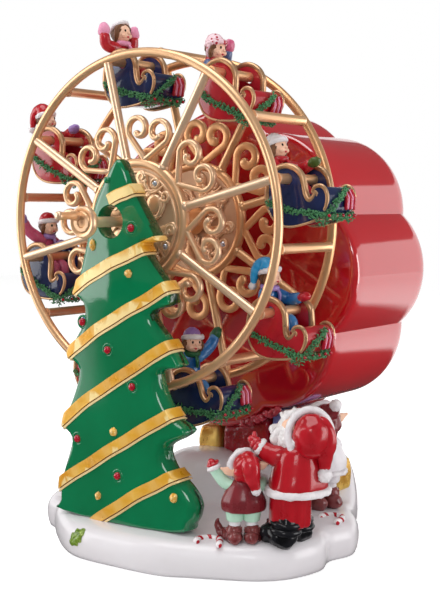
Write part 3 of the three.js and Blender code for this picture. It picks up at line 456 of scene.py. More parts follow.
def finish(name, colour, shade, hollow_shade=None, worn_and_highlight=None, roughness=0.3, uneven=0.08, metallic=0.0, coat=0.0,
           cloud=60.0, contrast=1.2, ripple=90.0, pits=900.0, pit_share=0.15, bump=0.15, wash_share=0.6,
           worn_and_highlight_share=0.5, speck=None, specular=0.35, coat_ior=1.5):
    """A painted or metal finish: two tones that change slowly over the surface, painted shade in
    its hollows, lighter edges from thinner paint and a painted highlight, and the unevenness of a casting."""
    material = bpy.data.materials.new(name)
    material.use_nodes = True
    tree = material.node_tree
    shader = tree.nodes["Principled BSDF"]
    place = node(tree, "ShaderNodeTexCoord").outputs["Object"]
    clouds = effect(tree, cloudy, {"Vector": place, "Scale": cloud, "Contrast": contrast})["Cloud"]
    paint = mix(tree, clouds, tint(shade), tint(colour))
    # Painted shade darkens the hollows; a painted highlight, with thinner paint, lightens the raised edges
    if hollow_shade or worn_and_highlight:
        masks = effect(tree, edges_and_hollows)
        for code, mask, share in ((hollow_shade, "Hollow", wash_share), (worn_and_highlight, "Edge", worn_and_highlight_share)):
            if code:
                paint = mix(tree, maths(tree, "MULTIPLY", masks[mask], share), paint, tint(code))
    if speck:
        code, scale, size, share = speck
        dots = effect(tree, specks, {"Vector": place, "Scale": scale, "Size": size, "Share": share})
        paint = mix(tree, dots["Speck"], paint, tint(code))
    tree.links.new(paint, shader.inputs["Base Color"])
    rough = ramp(tree, clouds, 0.0, 1.0, max(roughness - uneven, 0.02), roughness + uneven)
    tree.links.new(rough, shader.inputs["Roughness"])
    for key, value in (("Metallic", metallic), ("Coat Weight", coat), ("Coat Roughness", 0.04),
                       ("Coat IOR", coat_ior), ("Specular IOR Level", specular)):
        shader.inputs[key].default_value = value
    if bump:
        surface = effect(tree, cast_surface, {"Vector": place, "Ripple Scale": ripple, "Pit Scale": pits,
                         "Pit Share": pit_share})
        raised = node(tree, "ShaderNodeBump", {"Height": surface["Height"], "Strength": bump,
                      "Distance": 0.6 * MM})
        tree.links.new(raised.outputs[0], shader.inputs["Normal"])
        if coat:
            tree.links.new(raised.outputs[0], shader.inputs["Coat Normal"])
    return material


# In each finish below, the hollow colour is painted shade and the edge colour is a painted highlight where
# paint is thin
wheel_gold = finish("satin gold paint", "FFD0A0", "F6BC8A", hollow_shade="5A260C", worn_and_highlight="FFE8CE",
                    roughness=0.31, metallic=0.68, cloud=45, bump=0.12, pits=1400, wash_share=0.9)
# A darker, more orange copy of the gold for the rear of the wheel: painted shade, as the rear gets less light
rear_shaded_gold = finish("rear gold with painted shade", "FFC894", "E6A872", hollow_shade="4E230E", worn_and_highlight="F6CFA0",
                   roughness=0.33, metallic=0.72, cloud=45, bump=0.12, pits=1400, wash_share=0.9)
relief_gold = finish("raised gold relief", "FFD0A0", "F0B484", hollow_shade="5A2810", worn_and_highlight="FFE6CA",
                     roughness=0.3, metallic=0.62, cloud=70, bump=0.2, pits=1600, wash_share=0.9)
# The hub disc's gold is darker than the relief on it: painted shade between the relief strands
shaded_hub_gold = finish("gold disc with painted shade", "B9805C", "96603E", hollow_shade="3A1A0C", worn_and_highlight="FFDDB8",
                  roughness=0.42, metallic=0.6, cloud=70, bump=0.2, pits=1600, wash_share=0.9)
movement_brass = finish("movement brass", "B9954E", "8E6E34", hollow_shade="5A431C", roughness=0.3,
                        metallic=1.0, bump=0.1, pits=2200)
comb_steel = finish("comb steel", "A7ABB0", "83878C", roughness=0.28, metallic=1.0,
                    bump=0.08, pits=2600)
tree_green = finish("dipped tree green", "03794C", "026238", hollow_shade="032812", worn_and_highlight="1E8A5A", roughness=0.3,
                    uneven=0.03, coat=1.0, coat_ior=1.75, cloud=28, ripple=38, bump=0.35, pit_share=0.02,
                    contrast=1.5,
                    specular=0.0, wash_share=0.9)
moss_green = finish("mossy tree side", "0C4A22", "063315", hollow_shade="03200C", worn_and_highlight="5E7C2A", roughness=0.3,
                    coat=1.0, coat_ior=1.7, cloud=160, ripple=330, bump=0.9, pit_share=0.2, contrast=2.4,
                    specular=0.1,
                    speck=("4E6420", 300, 0.24, 0.14))
line_brown = finish("garland brown line", "8A4E18", "6A3610", roughness=0.3, cloud=90, bump=0.2)
tinsel_gold = finish("garland gold", "F0BC42", "DA8E14", hollow_shade="6E3A0A", worn_and_highlight="FFE9A8",
                     roughness=0.3, metallic=0.2, coat=0.3, cloud=60, ripple=160, bump=0.35, contrast=2.0,
                     worn_and_highlight_share=0.8, wash_share=0.8)
pale_gold = finish("garland pale edge", "F8E2AE", "E9C27C", hollow_shade="6E3A0A", roughness=0.3, metallic=0.25,
                   coat=0.3, cloud=90, bump=0.3, wash_share=0.8)
berry_red = finish("berry red", "C21C34", "8F0F22", hollow_shade="5A0814", roughness=0.12, coat=0.8,
                   cloud=300, bump=0.2)
drum_red = finish("lacquered drum red", "CC0D1C", "B80A18", roughness=0.35, uneven=0.03,
                  coat=1.0, coat_ior=2.35, cloud=18, ripple=30, bump=0.12, pit_share=0.01, contrast=1.1,
                  specular=0.1)
snow_white = finish("glazed snow", "E9E6E9", "DAD4D8", hollow_shade="C9BEC4", roughness=0.24,
                    uneven=0.06, coat=0.35, cloud=26, ripple=48, bump=0.3, pit_share=0.03, wash_share=0.5)

# Studio: a pale floor that keeps the shadow, a white room and soft lamps


room_light, room_glimmer = 0.52, 0.12
floor_tone, floor_glimmer, floor_reach = 0.86, 0.05, 1.6
# Name, place, width, height and power of each lamp
lamps = [("left softbox", (-1.16, -0.74, 0.5), 0.8, 1.1, 7.2),
         ("top softbox", (-0.1, -0.25, 1.15), 0.8, 0.8, 6.0),
         ("right softbox", (1.05, 1.1, 0.35), 1.1, 0.9, 2.2),
         ("front fill", (0.75, -1.3, 0.75), 0.5, 0.5, 3.6),
         ("side window", (0.56, 0.2, 0.16), 0.3, 0.3, 0.85)]


def build_studio():
    """A white background all round for the camera. Reflections show pale walls behind and at the
    left of the object and a pale floor far behind it, and else a dim room with softboxes."""
    world = bpy.data.worlds.new("white room")
    bpy.context.scene.world = world
    world.use_nodes = True
    tree = world.node_tree
    rays = node(tree, "ShaderNodeLightPath").outputs
    way = node(tree, "ShaderNodeTexCoord").outputs["Generated"]
    rise = node(tree, "ShaderNodeSeparateXYZ", {0: way}).outputs["Z"]
    low = ramp(tree, rise, 0.3, 0.33, 1.0, 0.0, "SMOOTHSTEP")
    wall = maths(tree, "MULTIPLY", effect(tree, pale_sides, {"Direction": way})["Pale"], low)
    plain = blend(tree, rays["Is Glossy Ray"], room_light, ramp(tree, wall, 0.0, 1.0, room_glimmer, 1.0))
    white = maths(tree, "MAXIMUM", rays["Is Camera Ray"], rays["Is Transmission Ray"])
    room = tree.nodes["Background"].inputs
    tree.links.new(blend(tree, white, plain, 1.0), room["Strength"])
    room["Color"].default_value = (1, 1, 1, 1)

    corners = [(x * floor_reach, y * floor_reach, 0) for x, y in ((-1, -1), (1, -1), (1, 1), (-1, 1))]
    floor = in_scene("studio floor", plain_mesh("studio floor", (corners, [(0, 1, 2, 3)])))
    paper = bpy.data.materials.new("studio paper")
    paper.use_nodes = True
    tree = paper.node_tree
    shader = tree.nodes["Principled BSDF"].inputs
    rays = node(tree, "ShaderNodeLightPath").outputs
    place = node(tree, "ShaderNodeNewGeometry").outputs["Position"]
    spot = vector_maths(tree, "SUBTRACT", place, (0.0, -0.07, 0.0))[0]
    pale = effect(tree, pale_sides, {"Direction": vector_maths(tree, "NORMALIZE", spot)[0]})["Pale"]
    away = vector_maths(tree, "LENGTH", spot)["Value"]
    far_pale = maths(tree, "MULTIPLY", pale, ramp(tree, away, 0.37, 0.43, kind="SMOOTHSTEP"))
    dim = ramp(tree, far_pale, 0.0, 1.0, floor_glimmer, floor_tone)
    tree.links.new(blend(tree, rays["Is Glossy Ray"], floor_tone, dim), shader["Base Color"])
    shader["Roughness"].default_value = 0.9
    shader["Specular IOR Level"].default_value = 0.1
    shader["Emission Color"].default_value = (1, 1, 1, 1)
    seen = maths(tree, "MAXIMUM", rays["Is Camera Ray"], rays["Is Transmission Ray"])
    shown = maths(tree, "MULTIPLY", rays["Is Glossy Ray"], far_pale)
    lift = maths(tree, "MULTIPLY", maths(tree, "MAXIMUM", seen, shown), 0.5)
    tree.links.new(lift, shader["Emission Strength"])
    floor.data.materials.append(paper)

    target = Vector((0.0, 0.02, 0.12))
    for name, place, width, height, power in lamps:
        data = bpy.data.lights.new(name, "AREA")
        data.shape = "RECTANGLE"
        data.size, data.size_y = width, height
        data.energy = power
        lamp = in_scene(name, data)
        lamp.location = place
        lamp.visible_glossy = name != "right softbox"
        lamp.rotation_euler = (target - Vector(place)).to_track_quat("-Z", "Y").to_euler()


build_studio()

# Node trees for what repeats or follows a rule

def growing(name, inputs):
    """An empty geometry tree with named inputs, and the end that every tree here shares."""
    group = bpy.data.node_groups.new(name, "GeometryNodeTree")
    kinds = {int: "Int", float: "Float", tuple: "Vector"}
    sockets = [("Geometry", "Geometry")] + [(title, kinds[type(value)]) for title, value in inputs.items()]
    for title, kind in sockets + [("Finish", "Material")]:
        socket = group.interface.new_socket(title, in_out="INPUT", socket_type="NodeSocket" + kind)
        if title in inputs:
            socket.default_value = inputs[title]
    group.interface.new_socket("Geometry", in_out="OUTPUT", socket_type="NodeSocketGeometry")
    given = group.nodes.new("NodeGroupInput").outputs
    result = group.nodes.new("NodeGroupOutput").inputs

    def close(geometry):
        real = node(group, "GeometryNodeRealizeInstances", {"Geometry": geometry})
        painted = node(group, "GeometryNodeSetMaterial", {"Geometry": real.outputs[0],
                       "Material": given["Finish"]})
        group.links.new(painted.outputs[0], result["Geometry"])
        return group
    return group, given, close


def copies_on(group, points, shape, turn):
    """Copies of a shape on points, each with its own turn."""
    return node(group, "GeometryNodeInstanceOnPoints", {"Points": points, "Instance": shape,
                "Rotation": turn}).outputs[0]


def any_between(group, least, most, seed):
    """Seeded random values between two vectors."""
    return node(group, "FunctionNodeRandomValue", {"Min": least, "Max": most, "Seed": seed},
                data_type="FLOAT_VECTOR").outputs[0]


def round_axle_tree():
    """Copies of a shape turned round an axis along Y through a centre."""
    group, given, close = growing("Copies round the axle", {"Count": 8, "First Angle": 0.0,
                                                            "Centre": (0.0, 0.0, 0.0)})
    points = node(group, "GeometryNodePoints", {"Count": given["Count"], "Position": given["Centre"]})
    index = node(group, "GeometryNodeInputIndex").outputs[0]
    turn = maths(group, "MULTIPLY_ADD", index, maths(group, "DIVIDE", TAU, given["Count"]),
        given["First Angle"])
    euler = node(group, "ShaderNodeCombineXYZ", {"Y": maths(group, "MULTIPLY", turn, -1.0)})
    rotation = node(group, "FunctionNodeEulerToRotation", {0: euler.outputs[0]})
    return close(copies_on(group, points.outputs[0], given["Geometry"], rotation.outputs[0]))


def scallop_tree():
    """Presses a turned drum into convex lobes that meet in valleys. Each point's radius is
    read as how far it lies inside the outline."""
    group, given, close = growing("Scalloped drum", {"Lobes": 8, "Crown Radius": 0.079,
                                                     "Valley Radius": 0.0724,
                                                     "Centre": (0.0, 0.0, 0.0)})

    def calc(operation, *values):
        return maths(group, operation, *values)
    place = node(group, "GeometryNodeInputPosition").outputs[0]
    local = vector_maths(group, "SUBTRACT", place, given["Centre"])[0]
    x, y, z = node(group, "ShaderNodeSeparateXYZ", {0: local}).outputs
    angle = calc("ARCTAN2", z, x)
    radius = calc("SQRT", calc("ADD", calc("MULTIPLY", x, x), calc("MULTIPLY", z, z)))
    lobe = calc("DIVIDE", TAU, given["Lobes"])
    within = calc("SUBTRACT", angle, calc("MULTIPLY", calc("ROUND", calc("DIVIDE", angle, lobe)), lobe))
    half = calc("MULTIPLY", lobe, 0.5)
    crown, valley = given["Crown Radius"], given["Valley Radius"]
    chord = calc("MULTIPLY", valley, calc("SINE", half))
    rise = calc("SUBTRACT", crown, calc("MULTIPLY", valley, calc("COSINE", half)))
    arc = calc("DIVIDE", calc("ADD", calc("MULTIPLY", chord, chord), calc("MULTIPLY", rise, rise)),
               calc("MULTIPLY", rise, 2.0))
    centre = calc("SUBTRACT", crown, arc)
    offset = calc("MULTIPLY", centre, calc("SINE", within))
    reach = calc("ADD", calc("MULTIPLY", centre, calc("COSINE", within)),
                 calc("SQRT", calc("SUBTRACT", calc("MULTIPLY", arc, arc), calc("MULTIPLY", offset, offset))))
    inset = calc("SUBTRACT", crown, radius)
    # Deep inside, the lobes fade out into the round opening
    fade = ramp(group, radius, 0.045, 0.058)
    shaped = calc("SUBTRACT", reach, inset)
    wanted = calc("ADD", calc("MULTIPLY", shaped, fade),
        calc("MULTIPLY", radius, calc("SUBTRACT", 1.0, fade)))
    scale = calc("DIVIDE", wanted, calc("MAXIMUM", radius, 0.00001))
    pressed = node(group, "ShaderNodeCombineXYZ", {"X": calc("MULTIPLY", x, scale), "Y": y,
                   "Z": calc("MULTIPLY", z, scale)})
    world = vector_maths(group, "ADD", pressed.outputs[0], given["Centre"])[0]
    return close(node(group, "GeometryNodeSetPosition", {"Geometry": given["Geometry"],
                      "Position": world}).outputs[0])


def grown(name, shape, tree, values, material, weld=True):
    """Runs a shape through a node tree and gives back the plain mesh."""
    holder = in_scene(name + " start", plain_mesh(name + " start", shape))
    modifier = holder.modifiers.new("grow", "NODES")
    modifier.node_group = tree
    values = dict(values, Finish=material)
    for item in tree.interface.items_tree:
        if item.item_type == "SOCKET" and item.in_out == "INPUT" and item.name in values:
            modifier[item.identifier] = values[item.name]
    holder.update_tag()
    result = with_modifiers(holder)
    result.name = name
    holder.modifiers.remove(modifier)
    bpy.data.objects.remove(holder)
    return cleaned(result) if weld else result


round_axle, scalloped = round_axle_tree(), scallop_tree()


def round_wheel(name, shape, count, first, material, replaces=(), sharp=40, centre=None, body="wheel",
                slot="wheel_gold"):
    """Equal copies round the axle, or round another axis along Y, as one piece."""
    mesh = grown(name, shape, round_axle, {"Count": count, "First Angle": first,
                 "Centre": tuple(centre or axle)}, material)
    return dress(name, mesh, material, body, slot, replaces, sharp)


# Wheel

def circle(radius, y, steps):
    """A circle round the axle, this far along it."""
    return [axle + Vector((math.cos(a) * radius, y, math.sin(a) * radius)) for a in angles(steps)]


def build_rims():
    """The two big rings of tube."""
    for side, name, gold in ((-1, "front rim", wheel_gold), (1, "rear rim", rear_shaded_gold)):
        tube = swept(circle(wheel_radius, rim_y[side], 180), rim_tube, 20, across=(0, 1, 0), closed=True)
        piece(name, tube, gold, "wheel", "wheel_gold", ("front_rim" if side < 0 else "rear_rim",), sharp=0)


def rod_shape(length, radius, seam=0.12):
    """A bar along Y with a small solder collar at each end."""
    half, collar = length / 2, radius * seam
    profile = [(0, -half), (radius + collar, -half), (radius + collar, -half + radius * 0.35),
               (radius, -half + radius * 0.6)]
    profile += [(r, -y) for r, y in reversed(profile)]
    return turned(profile, 24)


def build_rods():
    """The rods that carry the sleighs, and the tie rods between them."""
    span = rim_y[1] - rim_y[-1] - 2 * rim_tube * 0.93
    for name, first, nodes in (("sleigh rods", wheel_turn, "sleigh_rod_%d"),
                               ("tie rods", wheel_turn + sector / 2, "tie_rod_%d")):
        rod = moved(rod_shape(span, rod_radius), Matrix.Translation((wheel_radius, 0, 0)))
        round_wheel(name, rod, sectors, first, wheel_gold, [nodes % (k + 1) for k in range(sectors)], 50)


hub_ring = wheel_radius * 0.346
hub_tube = wheel_radius * 0.0302
spoke_radius = wheel_radius * 0.0276
heart_lobe = wheel_radius * 0.0803
heart_half = wheel_radius * 0.174
heart_reach = wheel_radius * 0.1684
heart_strip = wheel_radius * 0.0171
curl_end = wheel_radius * 0.0235


def heart_arm(side, last=392, ending=1.0):
    """Half of a heart along +X: out from its point, round the lobe and into a curl."""
    centre = heart_half - heart_lobe - heart_strip
    path = [Vector((0, 0, 0))]
    first, full = 58, 112
    for k in range(26):
        turn = first + (last - first) * k / 25
        curl = max(0.0, (turn - full) / (last - full))
        radius = heart_lobe + (curl_end * ending - heart_lobe) * curl ** 1.25
        a = math.radians(turn)
        path.append(Vector((heart_reach - radius * math.cos(a), 0, side * (centre + radius * math.sin(a)))))
    start, bend = path[0], path[1]
    path[1:1] = [start.lerp(bend, s) for s in (0.25, 0.5, 0.75)]
    return path


def spoke_frame(side, body_gold, depth, box):
    """Eight spokes and hearts round a hub disc with its ring, at the front or the rear."""
    name = "front" if side < 0 else "rear"
    y = rim_y[side]
    flat_tube = dict(across=(0, 1, 0))
    if side < 0:
        widths, arm = [heart_strip, heart_strip, heart_strip, heart_strip * 1.08], (392, 1.0, 12)
    else:
        wide = heart_strip * 1.42
        widths, arm = [wide * 0.9, wide, wide, wide * 1.2], (352, 1.25, 16)
    last, ending, sides = arm
    heart = [swept(heart_arm(s, last, ending), widths, sides, flat=depth, box=box, **flat_tube)
        for s in (-1, 1)]
    hearts = moved(joined(*heart), Matrix.Translation((hub_ring + hub_tube * 0.8, y, 0)))
    hearts = moved(hearts, Matrix.Rotation(-sector / 2, 4, "Y"))
    spoke = swept([Vector((hub_ring + hub_tube * 0.55, y, 0)), Vector((wheel_radius - rim_tube * 0.7, y, 0))],
                  spoke_radius, 16, flat=0.92, round_ends=False, **flat_tube)
    boss = turned([(0, 0), (spoke_radius * 1.25, 0), (spoke_radius * 1.25, spoke_radius * 0.5),
                   (spoke_radius, spoke_radius * 0.8), (0, spoke_radius * 0.8)], 18, axis="X",
                  centre=(hub_ring + hub_tube * 0.6, y, 0))
    round_wheel(f"{name} spokes and hearts", joined(hearts, spoke, boss), sectors, wheel_turn, body_gold,
                (f"{name}_spoke_frame",), 50)
    disc_reach = hub_ring - hub_tube * 0.6
    face = hub_tube * 0.5
    ring = swept(circle(hub_ring, y, 96), hub_tube, 18, closed=True, **flat_tube)
    inner = swept(circle(hub_ring - hub_tube * 1.75, y + side * face, 96), hub_tube * 0.34, 10, closed=True,
                  **flat_tube)
    disc = turned([(0, -face), (disc_reach, -face), (disc_reach, face), (0, face)], 72,
                  centre=axle + Vector((0, y, 0)))
    piece(f"{name} hub ring", joined(ring, inner), body_gold, "wheel", "wheel_gold", sharp=50)
    piece(f"{name} hub disc", disc, shaded_hub_gold, "wheel", "wheel_gold")
    build_relief(name, y - face)


def spiral(centre, start, end, first, last, steps=18):
    """A curl in the wheel's plane: radius from start to end while it turns."""
    out = []
    for k in range(steps + 1):
        t = k / steps
        a = math.radians(first + (last - first) * t)
        r = start + (end - start) * t ** 0.8
        out.append(Vector((centre.x + math.cos(a) * r, 0, centre.z + math.sin(a) * r)))
    return out


def polar(radius, degrees):
    a = math.radians(degrees)
    return Vector((math.cos(a), 0, math.sin(a))) * radius


# Each scroll: its curl's place, its first radius, the turn it starts and ends at, the way in, thickness
relief_scrolls = [
    ((20.2, 34), 3.0, 200, 560, ((9, 6), (13, 14), (15.8, 24)), 1.0),
    ((20.4, 80), 2.7, 330, -60, ((12.5, 58), (16, 63), (17.6, 72)), 1.0),
    ((13.8, 62), 2.2, 20, 330, ((22.4, 46), (18.5, 48), (15.8, 54)), 0.9),
    ((8.2, 88), 2.0, 100, 430, ((14.5, 100), (11, 96)), 0.9)]
relief_leaf = ((9.5, 60), (14, 66), (18.5, 70), (22.4, 76), (23.4, 84), (21, 90), (17, 86), (13.5, 80),
    (10, 74))


def build_relief(name, y):
    """Scrolls, a boss and a stone in its bezel, four times round the front of a hub disc."""
    unit = hub_ring / 26.3
    strand = unit * 0.92
    lift = Vector((0, y - unit * 0.62, 0))
    stone_place = polar(unit * 20.3, 57)
    dome = polar(unit * 13.2, 38)
    flat_tube = dict(across=(0, 1, 0))
    parts = []
    for centre, start, first, last, tail, thick in relief_scrolls:
        curl = spiral(polar(unit * centre[0], centre[1]), unit * start, unit * 0.9, first, last)
        path = curve_through([polar(unit * r, a) for r, a in tail] + [curl[0]], 6)[:-1] + curl
        widths = [strand * 0.55 * thick, strand * thick, strand * thick, strand * 1.25 * thick]
        parts.append(swept([p + lift for p in path], widths, 10, flat=0.8, **flat_tube))
    # Boss: a low dome that the scrolls wrap
    parts.append(turned([(r * unit, d * unit) for r, d in ((0, -1.1), (2.2, -1.0), (3.7, -0.7), (4.4, 0),
                         (4.4, 0.6), (0, 0.6))], 28, centre=dome + lift))
    leaf = curve_through([polar(unit * r, a) for r, a in relief_leaf], 4, closed=True)
    middle = sum(leaf, Vector()) / len(leaf)
    parts.append(skin([[p.lerp(middle, s) + lift + Vector((0, d * unit, 0)) for p in leaf]
                       for s, d in ((0.0, 0.6), (0.0, 0.0), (0.06, -0.4), (0.2, -0.5), (0.6, -0.6),
                       (0.9, -0.62))]))
    parts.append(swept([p + lift for p in spiral(dome, unit * 5.9, unit * 5.9, -110, 160, 16)],
                       strand * 0.75, 8, flat=0.75, **flat_tube))
    bezel = [stone_place + lift + Vector((math.cos(a), 0, math.sin(a))) * unit * 2.0 for a in angles(24)]
    parts.append(swept(bezel, unit * 0.75, 10, closed=True, **flat_tube))
    round_wheel(f"{name} hub relief", joined(*parts), 4, 0.0, relief_gold, sharp=50)
    stone = turned([(r * unit, d * unit) for r, d in ((0, -1.1), (0.85, -0.95), (1.45, -0.3), (1.45, 0),
                   (0, 0))],
                   8, centre=stone_place + lift)
    round_wheel(f"{name} hub stones", stone, 4, 0.0, clear_stone, sharp=10)


clear_stone = finish("clear stone", "E9EDF4", "B9C0D0", roughness=0.05, uneven=0.02, metallic=0.55,
                     coat=1.0, cloud=900, contrast=2.5, bump=0)


def build_turned_parts():
    """Crank disc with raised rings, turned peg, shaft, hub sleeve and the shaft's bush."""
    def ends(name):
        low, high, size, middle = size_of(name)
        return low.y, high.y, size.x / 2, size.y
    front, back, r, thick = ends("crank_disc")
    disc = [(0, front + thick * 0.16), (r * 0.3, front + thick * 0.16), (r * 0.36, front), (r * 0.58, front),
            (r * 0.63, front + thick * 0.14), (r * 0.72, front + thick * 0.16),
            (r * 0.8, front + thick * 0.03),
            (r * 0.93, front + thick * 0.06), (r, front + thick * 0.28), (r, back - thick * 0.28),
            (r * 0.93, back), (0, back)]
    front, back, r, thick = ends("crank_peg")
    peg = [(0, front), (r * 0.62, front), (r * 0.86, front + r * 0.25), (r * 0.92, front + r * 0.7),
           (r * 0.82, front + r * 1.4), (r * 0.72, front + r * 2.6), (r * 0.74, back - r * 1.6),
           (r * 0.95, back - r * 0.8), (r, back - r * 0.3), (r, back + r * 0.3), (0, back + r * 0.3)]
    front, back, r, thick = ends("wheel_shaft")
    shaft = [(0, front), (r, front), (r, back - r * 0.2), (r * 0.8, back), (0, back)]
    front, back, r, thick = ends("hub_sleeve")
    sleeve = [(0, front), (r * 0.9, front), (r, front + r * 0.1), (r, front + r * 0.4),
              (r * 0.88, front + r * 0.55),
              (r * 0.88, back - r * 0.55), (r, back - r * 0.4), (r, back - r * 0.1), (r * 0.9, back),
              (0, back)]
    front, back, r, thick = ends("shaft_bush")
    bush = [(0, front), (r * 0.86, front), (r, front + r * 0.14), (r, front + r * 0.26),
            (r * 0.58, front + r * 0.26), (r * 0.58, back), (0, back)]
    on_wheel = ("wheel", "wheel_gold")
    for name, profile, steps, centre, paint, place, sharp in (
            ("crank_disc", disc, 48, axle, wheel_gold, on_wheel, 50),
            ("crank_peg", peg, 28, size_of("crank_peg")[3], wheel_gold, on_wheel, 60),
            ("wheel_shaft", shaft, 32, axle, wheel_gold, on_wheel, 40),
            ("hub_sleeve", sleeve, 40, axle, rear_shaded_gold, on_wheel, 40),
            ("shaft_bush", bush, 40, axle, movement_brass, ("stand", "movement_brass"), 40)):
        shape = turned(profile, steps, centre=(centre.x, 0, centre.z))
        piece(name.replace("_", " "), shape, paint, *place, (name,), sharp)


# Tree post

tree_low, tree_size = size_of("tree_post")[::2]
tree_front = tree_low.y + 0.7 * MM  # the garland stands proud of the face
tree_foot = tree_low.z
tree_tall = tree_size.z
tree_outline_shares = [
    (-0.87, 0), (-0.93, 0.034), (-0.93, 0.093), (-0.8, 0.178), (-0.76, 0.217), (-0.87, 0.245), (-0.84, 0.285),
    (-0.7, 0.356), (-0.63, 0.414), (-0.76, 0.445), (-0.76, 0.475), (-0.56, 0.551), (-0.55, 0.601),
    (-0.67, 0.628), (-0.63, 0.66), (-0.49, 0.783), (-0.36, 0.885), (-0.12, 0.98), (0, 1), (0.1, 0.97),
    (0.18, 0.925), (0.47, 0.8), (0.46, 0.785), (0.31, 0.768), (0.63, 0.665), (0.68, 0.63), (0.65, 0.612),
    (0.41, 0.585), (0.63, 0.517), (0.76, 0.466), (0.74, 0.447), (0.49, 0.424), (0.65, 0.326), (0.84, 0.29),
    (0.83, 0.267), (0.58, 0.228), (0.66, 0.172), (0.84, 0.135), (0.95, 0.1), (0.97, 0.07), (0.89, 0.03),
    (0.65, 0)]
garland_lines = [
    [(-0.12, 0.889), (0.04, 0.907), (0.18, 0.917), (0.42, 0.94)],
    [(-0.8, 0.622), (-0.63, 0.648), (-0.39, 0.684), (-0.17, 0.711), (0.04, 0.734), (0.33, 0.763),
    (0.62, 0.792)],
    [(-0.95, 0.425), (-0.75, 0.461), (-0.47, 0.509), (-0.25, 0.543), (0.03, 0.582), (0.3, 0.616),
    (0.57, 0.654), (0.85, 0.69)],
    [(-1.1, 0.215), (-0.87, 0.262), (-0.55, 0.321), (-0.26, 0.368), (0.03, 0.411), (0.3, 0.454),
    (0.64, 0.504), (0.95, 0.548)],
    [(-1.15, 0.048), (-0.92, 0.083), (-0.56, 0.138), (-0.26, 0.184), (0.02, 0.227), (0.3, 0.269),
    (0.57, 0.31), (0.75, 0.335),
     (1.1, 0.385)],
    [(-0.5, -0.035), (-0.31, 0.003), (0.02, 0.058), (0.3, 0.102), (0.57, 0.14), (0.73, 0.162), (1.1, 0.212)]]
tree_reach = 42 * MM
tree_offset = 4.6 * MM
tree_hole = 7.3 * MM
tree_foot_thick, tree_top_thick = 13.2 * MM, 8 * MM


def tree_bow(x):
    """How far the front face curves back at this distance from the tree's middle."""
    return 2.4 * MM * (x / (0.95 * tree_reach)) ** 2


def tree_thickness(z):
    return tree_foot_thick + (tree_top_thick - tree_foot_thick) * (z / tree_tall)


